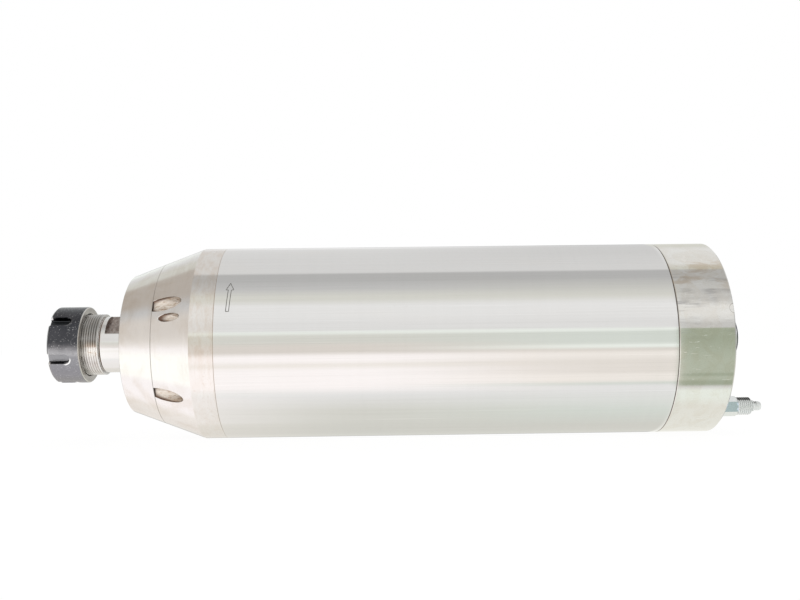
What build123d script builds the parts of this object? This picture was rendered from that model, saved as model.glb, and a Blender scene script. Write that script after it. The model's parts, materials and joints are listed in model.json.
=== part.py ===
from build123d import *
import math
import os

# Water-cooled motor spindle with a collet nose.
# Millimetres. X runs along the spindle axis, from the collet mouth (the origin) to the rear connector.
# Z is up. Angles are in degrees about X, from +Y towards +Z.

# ---------------------------------------------------------------- outside
barrel_diameter = 125.0
nose_diameter = 90.0            # front rim of the conical nose
nose_ring_length = 21.7
housing_cone_length = 25.0
housing_land_length = 14.5
shell_length = 280.0
shell_wall = 3.2
rear_cap_length = 34.5
rim_chamfer = 1.0               # rear rim
nose_rim_chamfer = 0.8
fine_seam_chamfer = 0.15        # joints at the nose
wide_seam_chamfer = 0.5         # joint at the rear cap

# ---------------------------------------------------------------- clearances
slide_fit = 0.05                # a spigot in its bore, per side
press_fit = 0.01                # a ring pressed on its seat, per side
thread_gap = 0.06               # nut bore over the thread crest
race_gap = 0.03                 # ball to raceway
labyrinth_gap = 0.3
past = 1.0                      # how far a cutter runs past the face it opens

# ---------------------------------------------------------------- collet and nut
collet_length = 40.0
collet_bore = 12.0
collet_taper = 8.0              # half angle
collet_big_diameter = 33.0
collet_face_diameter = 26.0
collet_bevel = 30.0             # half angle of the front cone
collet_groove_diameter = 27.4
collet_groove_start = 5.5
collet_groove_width = 3.8
collet_land = 1.0               # short cylinder between the front cone and the groove
slit_width = 1.0
slit_count = 8                  # from each end
slit_bridge = 6.0               # metal left at the end of a slit
nut_diameter = 50.0
nut_length = 20.5
nut_setback = 0.5               # the collet stands proud of the nut by this
nut_front_chamfer = 1.4
nut_rear_chamfer = 0.6
nut_lip = 2.7                   # width of the lip in the collet's groove
nut_lip_gap = 0.5               # lip to the bottom of the groove
nut_bore_chamfer = 1.0
nut_slot_count = 6
nut_slot_width = 6.0
nut_slot_length = 12.7
nut_slot_depth = 3.6
nut_slot_angle = 21.8
nut_pitch = 1.5
thread_depth = 0.6              # of the pitch
thread_crest = 0.15             # half the flat crest, of the pitch

# ---------------------------------------------------------------- shaft
thread_diameter = 40.0
shaft_face = 10.0               # shaft end, behind the collet mouth
exposed_thread = 10.6
thread_relief = 0.9
relief_depth = 0.5
shaft_chamfer = 1.0
neck_diameter = 37.0
neck_flats = 30.0               # across the spanner flats
flat_setback = 2.8              # thread relief to the start of the flats
flat_length = 13.0
flat_angle = 122.2
nut_to_nose = 31.4              # back of the nut to the front of the nose ring
socket_depth = 33.0
socket_tail = 15.0
socket_tail_diameter = 22.0
collar_diameter = 42.0
collar_length = 10.0
rotor_seat_diameter = 32.0
rotor_seat_tail = 2.0           # seat left beyond the rear balance ring
rear_shoulder = 1.7
shaft_tail = 2.0                # shaft left beyond the rear lock nut

# ---------------------------------------------------------------- bearings
front_bearing = dict(bore=35.0, od=62.0, width=14.0, ball=7.9, count=16)
rear_bearing = dict(bore=25.0, od=47.0, width=12.0, ball=6.3, count=14)
front_spacer = 6.0
rear_spacer = 4.0
race_shoulder = 0.6             # raceway shoulder to pitch circle, in ball radii
cage_share = 0.72               # width of a cage, of its bearing
cage_pocket_gap = 0.15          # ball to its pocket
front_spacer_gap = 3.0          # each spacer to the pitch circle
rear_spacer_gap = 2.5
lock_nut_length = 9.0
lock_nut_wall = 7.5
lock_nut_slots = 4
lock_nut_slot_depth = 2.0
lock_nut_slot_width = 5.0
slinger_length = 15.0
slinger_setback = 0.6           # behind the face of the nose ring
slinger_flange = 5.0
slinger_diameter = 48.0

# ---------------------------------------------------------------- motor
air_gap = 0.4
rotor_diameter = 55.2
cage_bar_count = 24
cage_bar_diameter = 3.7
cage_bar_cover = 1.2            # core left outside a bar
cage_ring_length = 6.0
cage_ring_step = 0.4            # below the rotor surface
balance_ring_length = 6.0
balance_ring_gap = 1.0
balance_ring_step = 1.5         # below the rotor surface
balance_drill = 3.5
balance_drillings = (20, 48, 190)
slot_count = 24
slot_width = 3.6
slot_mouth = 1.2
slot_lip = 1.6
back_iron = 8.0
slot_liner = 0.3                # round the copper in a slot
winding_gap = 1.5               # core to the thick part of an end turn
end_turn_swell = 3.0            # end turns reach this far outside the slots
end_turn_rounding = 4.0
end_turn_length = 24.0
end_turn_room = 12.0            # end turns to the housings
lead_room = 4.0                 # more room at the rear, for the leads
jacket_wall = 3.5
channel_depth = 5.75
channel_count = 8
rib_width = 4.0
rib_opening = 14.0              # way round the end of a rib
rib_root = 0.5                  # rib sunk into the sleeve that carries it
jacket_collar = 22.0            # solid length at the front of the jacket
jacket_rear_collar = 16.0

# ---------------------------------------------------------------- housings
housing_spigot = 14.4
bearing_lip = 4.5               # nose ring over the front bearing
lip_relief = 2.0                # collar to the hollow in front of that bearing
bearing_stop = 4.0              # step behind the front bearings
shield_length = 30.0
shield_hub = 8.0
shield_hub_wall = 7.5
shield_front_wall = 8.0
spring_count = 8
spring_diameter = 3.6
spring_wire = 0.6
spring_pocket = 5.0
spring_preload_gap = 1.0        # shield wall to the first rear bearing
spring_turns = 4
spring_pocket_gap = 0.2         # spring to its pocket, per side
spring_edge = 0.8               # spring to the bearing bore
shield_bore_gap = 4.5           # shaft seat to the front wall of the rear bearing housing
rear_spigot = 13.6
rear_floor = 10.1
port_edge = 10.1                # barrel surface to the axis of a water fitting
port_half_angle = 32.3          # each water fitting, from straight down
port_wall = 2.35
passage_diameter = 4.6
oring = 2.6
notch_radius = 2.9
notch_depth = 0.6
notch_angle = 164.0

# ---------------------------------------------------------------- fasteners: thread, head and key sizes
m3 = dict(d=3.0, head=5.5, head_h=3.0, key=2.5)
m4 = dict(d=4.0, head=7.0, head_h=4.0, key=3.0)
m5 = dict(d=5.0, head=8.5, head_h=5.0, key=4.0)
screw_clearance = 0.1
head_sink = 0.5                 # head below the surface
head_clearance = 0.3
housing_screw_edge = 0.85       # screw hole to the outside of the spigot
housing_screw_angle = 34.3
housing_screw_reach = 14.0      # into the jacket
housing_screw_floor = 8.0       # counterbore floor ahead of the shell joint
jack_hole_diameter = 5.4
jack_hole_offset = 9.55         # beside a housing screw
jack_hole_drop = 1.6            # its circle lies this much further out
jack_hole_floor = 2.0           # ahead of the shell joint
nose_screw_count = 6
nose_screw_wall = 3.5
nose_screw_reach = 9.0
shield_screw_reach = 14.0
shield_screw_wall = 1.5         # stator bore of the jacket to the thread
cap_screw_reach = 11.0

# ---------------------------------------------------------------- water fittings and connector
fitting_shank = 8.0
fitting_shank_length = 9.0
fitting_hex = 11.0
fitting_hex_turn = 30.0           # a flat faces each side
fitting_hex_length = 10.1
fitting_thread = 11.1
fitting_thread_length = 8.7
nozzle_length = 6.8
nozzle_barb = 7.1
nozzle_tip = 5.9
nozzle_bore = 3.5
nozzle_throat = 1.2             # depth of the throat before the barb
barb_length = 0.9
barb_slope = 1.6
tip_land = 1.4
fitting_chamfer = 0.6
washer_thickness = 1.2
washer_diameter = 14.0
plug_diameter = 28.0
plug_length = 16.2
plug_wall = 2.2
plug_neck = 26.0                # barrel of the connector through the rear cap
plug_flange = 36.0
plug_flange_thickness = 3.0
plug_gasket = 1.0
plug_depth = 15.0               # behind the flange
plug_screw_spacing = 28.0
plug_screw_depth = 8.0
plug_corner = 3.0
plug_relief = 2.4               # length of the undercut behind the thread
plug_relief_depth = 1.2
plug_key_width = 2.4
plug_key_height = 1.6
plug_key_gap = 0.3              # key to the sides and floor of its keyway
pin_count = 4
pin_diameter = 3.0
pin_circle = 12.0
pin_recess = 2.5
insulator_recess = 7.0
lead_diameter = 2.2
lead_hole_gap = 0.6             # lead to its hole, per side
pin_tail = 4.0                  # pin behind the insulator
lead_first_angle = 66.0
lead_pitch = 16.0
lead_bends = (8.0, 2.4)
lead_straight = 4.0             # at the pin

# ---------------------------------------------------------------- stations along X
x_nut_front = nut_setback
x_nut_back = x_nut_front + nut_length
x_nose = x_nut_back + nut_to_nose
x_ring_back = x_nose + nose_ring_length
x_land = x_ring_back + housing_cone_length
x_shell = x_land + housing_land_length
x_cap = x_shell + shell_length
x_end = x_cap + rear_cap_length
x_jacket = x_shell + housing_spigot
x_shield_back = x_cap - rear_spigot
x_shield = x_shield_back - shield_length
x_core = x_jacket + end_turn_room + end_turn_length
x_core_end = x_shield - end_turn_room - end_turn_length - lead_room
x_collar = x_nose + slinger_length + slinger_setback
x_front_bearing = x_collar + collar_length
x_front_bearing_b = x_front_bearing + front_bearing["width"] + front_spacer
x_front_stack_end = x_front_bearing_b + front_bearing["width"]
x_rear_bearing = x_shield + shield_front_wall + spring_preload_gap
x_rear_bearing_b = x_rear_bearing + rear_bearing["width"] + rear_spacer
x_rear_stack_end = x_rear_bearing_b + rear_bearing["width"]
x_shaft_end = x_rear_stack_end + lock_nut_length + shaft_tail
x_cavity_end = x_end - rear_floor
x_front_balance = x_core - cage_ring_length - balance_ring_gap - balance_ring_length
x_rear_balance = x_core_end + cage_ring_length + balance_ring_gap
x_pin_tail = x_end + plug_gasket - plug_depth - pin_tail
x_plug_tip = x_end + plug_gasket + plug_flange_thickness + plug_length

# ---------------------------------------------------------------- radii that other pieces share
r_barrel = barrel_diameter / 2
r_shell_in = r_barrel - shell_wall
r_spigot = r_shell_in - slide_fit
r_channel = r_spigot - channel_depth
r_stator = r_channel - jacket_wall
r_rotor = rotor_diameter / 2
r_stator_bore = r_rotor + air_gap
r_cage_bar = r_rotor - cage_bar_diameter / 2 - cage_bar_cover
r_slot_in = r_stator_bore + slot_lip
r_slot_out = r_stator - back_iron
r_neck = neck_diameter / 2
r_seat = front_bearing["bore"] / 2
r_rear_seat = rear_bearing["bore"] / 2
r_rotor_seat = rotor_seat_diameter / 2
r_housing_bore = front_bearing["od"] / 2 + press_fit
r_shield_bore = rear_bearing["od"] / 2 + press_fit
r_housing_screw = r_spigot - housing_screw_edge - m5["d"] / 2 - screw_clearance
r_nose_screw = r_housing_bore + nose_screw_wall + m4["head"] / 2
r_shield_screw = r_stator + shield_screw_wall + m5["d"] / 2
r_port = r_barrel - port_edge
r_cavity = r_port - fitting_shank / 2 - port_wall
r_hub = r_shield_bore + shield_hub_wall
r_passage = r_port + passage_diameter / 2
r_lead = (r_hub + r_cavity) / 2
cone_slope = (r_barrel - nose_diameter / 2) / (nose_ring_length + housing_cone_length)
port_angles = (270 - port_half_angle, 270 + port_half_angle)


# ---------------------------------------------------------------- shapes
def turned(*corners):
    """A solid turned about X from its half section, given as (x, radius) corners."""
    return revolve(make_face(Polyline(*corners, close=True)), Axis.X)


def tube(x0, x1, r_in, r_out):
    return turned((x0, r_in), (x1, r_in), (x1, r_out), (x0, r_out))


def rod(x0, x1, radius, circle=0.0, angle=0.0):
    """A rod parallel to X, its centre on a circle of the given radius."""
    y = circle * math.cos(math.radians(angle))
    z = circle * math.sin(math.radians(angle))
    lying = Pos(x0, y, z) * Rot(0, 90, 0)
    return lying * Cylinder(radius, x1 - x0, align=(Align.CENTER, Align.CENTER, Align.MIN))


def about_x(shape, angle):
    return Rot(angle, 0, 0) * shape


def ring_of(shape, count, first=0.0):
    return [about_x(shape, first + 360 / count * k) for k in range(count)]


def hex_rod(x0, x1, across_flats):
    section = Plane.YZ.offset(x0) * RegularPolygon(across_flats / 2, 6, major_radius=False)
    return extrude(section, x1 - x0)


def joined(shapes):
    return shapes[0].fuse(*shapes[1:]) if len(shapes) > 1 else shapes[0]


def group(shapes):
    """Separate solids that share one node."""
    return Compound(children=[solid for shape in shapes for solid in shape.solids()])


def thread_corners(x0, x1, radius, pitch):
    """Half section of a run of thread: V grooves with flat crests."""
    depth = thread_depth * pitch
    turns = int((x1 - x0) / pitch)
    corners = [(x0, radius)]
    for k in range(turns):
        x = x0 + k * pitch
        corners += [
            (x + thread_crest * pitch, radius), (x + pitch / 2, radius - depth),
            (x + (1 - thread_crest) * pitch, radius),
        ]
    return corners + [(x1, radius)]


def cap_screw(size, x_seat, reach, circle, angle, toward=1):
    """A socket head screw parallel to X; its head stands on x_seat and its shank runs toward +X or -X."""
    head = rod(0, size["head_h"], size["head"] / 2)
    socket = hex_rod(-past, size["head_h"] / 2, size["key"])
    shank = rod(size["head_h"], size["head_h"] + reach, size["d"] / 2)
    screw = head - socket + shank
    if toward < 0:
        screw = mirror(screw, Plane.YZ)
    return about_x(Pos(x_seat - toward * size["head_h"], circle, 0) * screw, angle)


def o_ring(x, radius, section=oring):
    return Pos(x, 0, 0) * Rot(0, 90, 0) * Torus(radius, section / 2)


def o_ring_groove(x, radius):
    """Groove for an O-ring that just meets a bore of this radius."""
    half = oring / 2 + slide_fit
    return tube(x - half, x + half, radius - oring - slide_fit, radius + past)


# ---------------------------------------------------------------- bearings
def bearing(x, size):
    """One angular contact bearing from its front face at x: inner ring, outer ring, balls and cage."""
    pitch_r = (size["bore"] + size["od"]) / 4
    ball_r = size["ball"] / 2
    shoulder = race_shoulder * ball_r
    middle = x + size["width"] / 2
    track = Pos(middle, 0, 0) * Rot(0, 90, 0) * Torus(pitch_r, ball_r + race_gap)
    inner = tube(x, x + size["width"], size["bore"] / 2 + press_fit, pitch_r - shoulder) - track
    outer = tube(x, x + size["width"], pitch_r + shoulder, size["od"] / 2) - track
    balls = group(ring_of(Pos(middle, pitch_r, 0) * Sphere(ball_r), size["count"]))
    half_cage = size["width"] * cage_share / 2
    wall = shoulder - labyrinth_gap * 2
    pocket = Pos(middle, pitch_r, 0) * Rot(90, 0, 0) * Cylinder(ball_r + cage_pocket_gap, 4 * shoulder)
    cage = tube(middle - half_cage, middle + half_cage, pitch_r - wall, pitch_r + wall)
    for hole in ring_of(pocket, size["count"]):
        cage -= hole
    return dict(inner=inner, outer=outer, balls=balls, cage=cage)


def lock_nut(x, bore_r):
    """Slotted lock nut with four spanner slots."""
    nut = tube(x, x + lock_nut_length, bore_r + press_fit, bore_r + lock_nut_wall)
    slot = Pos(x + lock_nut_length / 2, bore_r + lock_nut_wall, 0) * Box(
        lock_nut_length + past, lock_nut_slot_depth * 2, lock_nut_slot_width)
    for cut in ring_of(slot, lock_nut_slots):
        nut -= cut
    return nut


# ---------------------------------------------------------------- collet, nut and shaft
def collet_radius(x):
    """Radius of the collet's 8 degree cone."""
    cone_start = collet_groove_start + collet_groove_width
    return collet_big_diameter / 2 - (x - cone_start) * math.tan(math.radians(collet_taper))


def bevel_radius(x):
    """Radius of the collet's front cone."""
    return collet_face_diameter / 2 + x * math.tan(math.radians(collet_bevel))


def make_collet():
    bore_r = collet_bore / 2
    bevel_end = collet_groove_start - collet_land
    groove_end = collet_groove_start + collet_groove_width
    groove_r = collet_groove_diameter / 2
    body = turned(
        (0, bore_r), (0, bevel_radius(0)), (bevel_end, bevel_radius(bevel_end)),
        (collet_groove_start, bevel_radius(bevel_end)), (collet_groove_start, groove_r),
        (groove_end, groove_r), (groove_end, collet_radius(groove_end)),
        (collet_length, collet_radius(collet_length)), (collet_length, bore_r),
    )
    reach = collet_length - slit_bridge
    blade = Box(reach + past, collet_big_diameter, slit_width, align=(Align.MIN, Align.MIN, Align.CENTER))
    for cut in ring_of(Pos(-past, 0, 0) * blade, slit_count):
        body -= cut
    for cut in ring_of(Pos(slit_bridge, 0, 0) * blade, slit_count, 180 / slit_count):
        body -= cut
    return body


def make_collet_nut():
    r_out = nut_diameter / 2
    bore_r = thread_diameter / 2 + thread_gap
    bevel_end = collet_groove_start - collet_land
    lip_r = collet_groove_diameter / 2 + nut_lip_gap
    lip_start = collet_groove_start + (collet_groove_width - nut_lip) / 2
    lip_end = lip_start + nut_lip
    chamber_r = bevel_radius(bevel_end) + labyrinth_gap
    body = turned(
        (x_nut_front, bevel_radius(x_nut_front) + thread_gap),
        (bevel_end, bevel_radius(bevel_end) + thread_gap),
        (bevel_end, chamber_r), (lip_start, chamber_r), (lip_start, lip_r), (lip_end, lip_r),
        (lip_end, bore_r), (x_nut_back - nut_bore_chamfer, bore_r), (x_nut_back, bore_r + nut_bore_chamfer),
        (x_nut_back, r_out - nut_rear_chamfer), (x_nut_back - nut_rear_chamfer, r_out),
        (x_nut_front + nut_front_chamfer, r_out), (x_nut_front, r_out - nut_front_chamfer),
    )
    end_r = nut_slot_width / 2
    straight = nut_slot_length + nut_front_chamfer - end_r
    floor_r = r_out - nut_slot_depth
    pocket = Pos(x_nut_front, floor_r, 0) * Box(
        straight, nut_slot_depth * 2, nut_slot_width, align=(Align.MIN, Align.MIN, Align.CENTER))
    round_end = Pos(x_nut_front + straight, floor_r, 0) * Rot(-90, 0, 0) * Cylinder(
        end_r, nut_slot_depth * 2, align=(Align.CENTER, Align.CENTER, Align.MIN))
    for cut in ring_of(pocket + round_end, nut_slot_count, nut_slot_angle):
        body -= cut
    return body


def make_spindle_shaft():
    socket_r = collet_radius(shaft_face) + thread_gap
    taper_end = shaft_face + socket_depth
    taper_end_r = socket_r - socket_depth * math.tan(math.radians(collet_taper))
    tail_end = taper_end + socket_tail
    thread_r = thread_diameter / 2
    thread_start = shaft_face + shaft_chamfer
    thread_end = x_nut_back + exposed_thread
    relief_end = thread_end + thread_relief
    lock_end = x_front_stack_end + lock_nut_length
    shoulder_r = r_rear_seat + rear_shoulder
    rotor_end = x_rear_balance + balance_ring_length + rotor_seat_tail
    body = turned(
        (shaft_face, socket_r), (shaft_face, thread_r - shaft_chamfer),
        *thread_corners(thread_start, thread_end, thread_r, nut_pitch),
        (thread_end, r_neck - relief_depth), (relief_end, r_neck - relief_depth), (relief_end, r_neck),
        (x_collar, r_neck), (x_collar, collar_diameter / 2), (x_front_bearing, collar_diameter / 2),
        (x_front_bearing, r_seat), (lock_end, r_seat), (lock_end, r_rotor_seat),
        (rotor_end, r_rotor_seat), (rotor_end, shoulder_r), (x_rear_bearing, shoulder_r),
        (x_rear_bearing, r_rear_seat), (x_shaft_end - shaft_chamfer, r_rear_seat),
        (x_shaft_end, r_rear_seat - shaft_chamfer),
        (x_shaft_end, 0), (tail_end, 0), (tail_end, socket_tail_diameter / 2),
        (taper_end, socket_tail_diameter / 2), (taper_end, taper_end_r),
    )
    flat_start = relief_end + flat_setback
    mill = Pos(flat_start, neck_flats / 2, 0) * Box(
        flat_length, neck_diameter, neck_diameter, align=(Align.MIN, Align.MIN, Align.CENTER))
    for cut in ring_of(mill, 2, flat_angle):
        body -= cut
    return body


def make_slinger():
    """Dust ring that turns with the shaft inside the nose ring."""
    x0 = x_collar - slinger_length
    return turned(
        (x0, r_neck + press_fit), (x0, slinger_diameter / 2), (x0 + slinger_flange, slinger_diameter / 2),
        (x0 + slinger_flange, collar_diameter / 2), (x_collar, collar_diameter / 2),
        (x_collar, r_neck + press_fit),
    )


# ---------------------------------------------------------------- rotor and stator
def make_rotor_core():
    core = tube(x_core, x_core_end, r_rotor_seat + press_fit, r_rotor)
    hole = rod(x_core - past, x_core_end + past, cage_bar_diameter / 2 + slide_fit, r_cage_bar)
    for cut in ring_of(hole, cage_bar_count):
        core -= cut
    return core


def make_rotor_cage():
    """Squirrel cage: bars through the core and a ring at each end."""
    ring_in = r_cage_bar - cage_bar_diameter
    front = tube(x_core - cage_ring_length, x_core, ring_in, r_rotor - cage_ring_step)
    rear = tube(x_core_end, x_core_end + cage_ring_length, ring_in, r_rotor - cage_ring_step)
    bar = rod(x_core - past, x_core_end + past, cage_bar_diameter / 2, r_cage_bar)
    return joined([front, rear] + ring_of(bar, cage_bar_count))


def make_balance_ring(x):
    """Ring on the shaft beside the rotor, drilled where the rotor was balanced."""
    outer_r = r_rotor - balance_ring_step
    ring = tube(x, x + balance_ring_length, r_rotor_seat + press_fit, outer_r)
    middle_r = (r_rotor_seat + outer_r) / 2
    for angle in balance_drillings:
        ring -= rod(x - past, x + balance_ring_length / 2, balance_drill / 2, middle_r, angle)
    return ring


def make_stator_core():
    core = tube(x_core, x_core_end, r_stator_bore, r_stator)
    length = x_core_end - x_core + 2 * past
    slot = Pos(x_core - past, r_slot_in, 0) * Box(
        length, r_slot_out - r_slot_in, slot_width, align=(Align.MIN, Align.MIN, Align.CENTER))
    mouth = Pos(x_core - past, r_stator_bore - past, 0) * Box(
        length, slot_lip + 1.5 * past, slot_mouth, align=(Align.MIN, Align.MIN, Align.CENTER))
    for cut in ring_of(slot + mouth, slot_count):
        core -= cut
    return core


def make_stator_winding():
    """Copper in the slots and the rounded end turns at both ends."""
    r0 = r_slot_in + slot_liner
    r1 = r_slot_out - slot_liner
    r2 = r1 + end_turn_swell
    bar = Pos(x_core - winding_gap - past, r0, 0) * Box(
        x_core_end - x_core + 2 * (winding_gap + past), r1 - r0, slot_width - 2 * slot_liner,
        align=(Align.MIN, Align.MIN, Align.CENTER))
    edge = min(end_turn_rounding, (r2 - r0) / 4)

    def end_turn(x0, x1):
        return turned(
            (x0, r0), (x1 - edge, r0), (x1, r0 + edge), (x1, r2 - edge), (x1 - edge, r2), (x0, r2))

    rear = end_turn(x_core_end + winding_gap, x_core_end + end_turn_length)
    front = mirror(end_turn(-x_core + winding_gap, -x_core + end_turn_length), Plane.YZ)
    return joined([front, rear] + ring_of(bar, slot_count))


def make_water_jacket():
    """Sleeve round the stator: eight long channels that the water runs through one after another."""
    x0 = x_jacket
    x1 = x_shield
    body = tube(x0, x1, r_stator + press_fit, r_spigot)
    start = x0 + jacket_collar
    end = x1 - jacket_rear_collar
    body -= tube(start, end, r_channel, r_spigot + past)
    for k in range(channel_count):
        front_gap = rib_opening if k % 2 == 1 else 0
        rear_gap = rib_opening if k % 2 == 0 and k > 0 else 0
        rib = Pos(start + front_gap, r_channel - rib_root, 0) * Box(
            end - start - front_gap - rear_gap, channel_depth + rib_root + past, rib_width,
            align=(Align.MIN, Align.MIN, Align.CENTER))
        rib &= tube(start, end, r_channel - rib_root, r_spigot)
        body += about_x(rib, 270 - 360 / channel_count * k)
    for x in jacket_seal_stations():
        body -= o_ring_groove(x, r_shell_in)
    for cut in ring_of(rod(x0 - past, x0 + housing_screw_reach + past, m5["d"] / 2, r_housing_screw), 6,
                       housing_screw_angle):
        body -= cut
    for cut in ring_of(rod(x1 - shield_screw_reach, x1 + past, m5["d"] / 2, r_shield_screw), 4, 45):
        body -= cut
    for angle in port_angles:
        body -= rod(end - past, x1 + past, passage_diameter / 2, r_passage, angle)
    return body


def jacket_seal_stations():
    return (x_jacket + jacket_collar - oring, x_shield - jacket_rear_collar / 2)


def make_jacket_seals():
    return group([o_ring(x, r_shell_in - oring / 2) for x in jacket_seal_stations()])


# ---------------------------------------------------------------- housings
def cone_radius(x):
    return nose_diameter / 2 + (x - x_nose) * cone_slope


def make_nose_ring():
    """Front cover: conical outside, labyrinth bore inside, a lip that holds the front bearings."""
    lip_in = r_housing_bore - bearing_lip
    rim_end = x_nose + nose_rim_chamfer * 0.6
    throat_r = collar_diameter / 2 + labyrinth_gap
    mouth_r = slinger_diameter / 2 + labyrinth_gap
    mouth_end = x_collar - slinger_length + slinger_flange + labyrinth_gap
    body = turned(
        (x_nose, mouth_r), (x_nose, nose_diameter / 2 - nose_rim_chamfer),
        (rim_end, cone_radius(rim_end)),
        (x_ring_back - fine_seam_chamfer, cone_radius(x_ring_back - fine_seam_chamfer)),
        (x_ring_back, cone_radius(x_ring_back) - fine_seam_chamfer),
        (x_ring_back, r_housing_bore - slide_fit), (x_front_bearing, r_housing_bore - slide_fit),
        (x_front_bearing, lip_in), (x_collar + lip_relief, lip_in), (x_collar + lip_relief, throat_r),
        (mouth_end, throat_r), (mouth_end, mouth_r),
    )
    head_depth = m4["head_h"] + head_sink
    for angle in screw_angles(nose_screw_count):
        body -= rod(x_nose - past, x_nose + head_depth, m4["head"] / 2 + head_clearance, r_nose_screw, angle)
        body -= rod(x_nose, x_ring_back + past, m4["d"] / 2 + screw_clearance, r_nose_screw, angle)
    return body


def screw_angles(count, first=0.0):
    return [first + 360 / count * k for k in range(count)]


def make_nose_ring_screws():
    seat = x_nose + m4["head_h"] + head_sink
    reach = x_ring_back + nose_screw_reach - seat
    return group([cap_screw(m4, seat, reach, r_nose_screw, a) for a in screw_angles(nose_screw_count)])


def make_front_housing():
    """Conical front housing: bearing bore, screw counterbores that break out through the cone, spigot."""
    back_r = r_housing_bore - bearing_stop
    body = turned(
        (x_ring_back, r_housing_bore), (x_ring_back, cone_radius(x_ring_back) - fine_seam_chamfer),
        (x_ring_back + fine_seam_chamfer, cone_radius(x_ring_back + fine_seam_chamfer)),
        (x_land, r_barrel), (x_shell - fine_seam_chamfer, r_barrel),
        (x_shell, r_barrel - fine_seam_chamfer), (x_shell, r_spigot), (x_jacket, r_spigot),
        (x_jacket, back_r), (x_front_stack_end, back_r), (x_front_stack_end, r_housing_bore),
    )
    seat = x_shell - housing_screw_floor
    for angle in screw_angles(6, housing_screw_angle):
        body -= rod(x_ring_back - past, seat, m5["head"] / 2 + head_clearance, r_housing_screw, angle)
        body -= rod(seat - past, x_jacket + past, m5["d"] / 2 + screw_clearance, r_housing_screw, angle)
    jack_circle = r_housing_screw + jack_hole_drop
    for angle in screw_angles(2, housing_screw_angle + 120 + jack_hole_offset):
        body -= rod(x_ring_back - past, x_shell - jack_hole_floor, jack_hole_diameter / 2, jack_circle, angle)
    thread_end = x_ring_back + nose_screw_reach + past
    for angle in screw_angles(nose_screw_count):
        body -= rod(x_ring_back - past, thread_end, m4["d"] / 2, r_nose_screw, angle)
    return body


def make_front_housing_screws():
    seat = x_shell - housing_screw_floor
    reach = x_jacket + housing_screw_reach - seat
    angles = screw_angles(6, housing_screw_angle)
    return group([cap_screw(m5, seat, reach, r_housing_screw, a) for a in angles])


def make_outer_shell():
    return turned(
        (x_shell, r_shell_in), (x_shell, r_barrel - fine_seam_chamfer),
        (x_shell + fine_seam_chamfer, r_barrel), (x_cap - wide_seam_chamfer, r_barrel),
        (x_cap, r_barrel - wide_seam_chamfer), (x_cap, r_shell_in),
    )


def make_rear_shield():
    """Rear bearing housing, with spring pockets, water passages and the way through for the leads."""
    bore_start = x_shield + shield_front_wall
    bore_r = r_rear_seat + shield_bore_gap
    hub_end = x_shield_back + shield_hub
    body = turned(
        (x_shield, bore_r), (x_shield, r_spigot), (x_shield_back, r_spigot),
        (x_shield_back, r_hub), (hub_end, r_hub), (hub_end, r_shield_bore),
        (bore_start, r_shield_bore), (bore_start, bore_r),
    )
    body -= o_ring_groove(x_shield + shield_length / 2, r_shell_in)
    pocket = rod(bore_start - spring_pocket, bore_start + past, spring_diameter / 2 + spring_pocket_gap,
                 spring_circle())
    for cut in ring_of(pocket, spring_count):
        body -= cut
    for angle in port_angles:
        body -= rod(x_shield - past, x_shield_back + past, passage_diameter / 2, r_passage, angle)
    head_depth = m5["head_h"] + head_sink
    for angle in screw_angles(4, 45):
        body -= rod(x_shield_back - head_depth, x_shield_back + past, m5["head"] / 2 + head_clearance,
                    r_shield_screw, angle)
        body -= rod(x_shield - past, x_shield_back, m5["d"] / 2 + screw_clearance, r_shield_screw, angle)
    for angle in screw_angles(4):
        body -= rod(x_shield_back - cap_screw_reach - past, x_shield_back + past, m5["d"] / 2, r_port, angle)
    for angle in lead_angles():
        body -= rod(x_shield - past, x_shield_back + past, lead_diameter / 2 + lead_hole_gap, r_lead, angle)
    return body


def spring_circle():
    return r_shield_bore - spring_diameter / 2 - spring_edge


def make_preload_springs():
    """Coil springs that push the rear bearings back and take up the play."""
    x0 = x_shield + shield_front_wall - spring_pocket
    length = spring_pocket + spring_preload_gap
    coil_r = (spring_diameter - spring_wire) / 2
    height = length - spring_wire
    path = Helix(pitch=height / spring_turns, height=height, radius=coil_r)
    section = Plane(path @ 0, z_dir=path % 0) * Circle(spring_wire / 2)
    coil = Rot(0, 90, 0) * sweep(section, path=path, is_frenet=True)
    return group(ring_of(Pos(x0 + spring_wire / 2, spring_circle(), 0) * coil, spring_count))


def make_rear_shield_screws():
    seat = x_shield_back - m5["head_h"] - head_sink
    reach = seat - x_shield + shield_screw_reach - past
    return group([cap_screw(m5, seat, reach, r_shield_screw, a, -1) for a in screw_angles(4, 45)])


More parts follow.
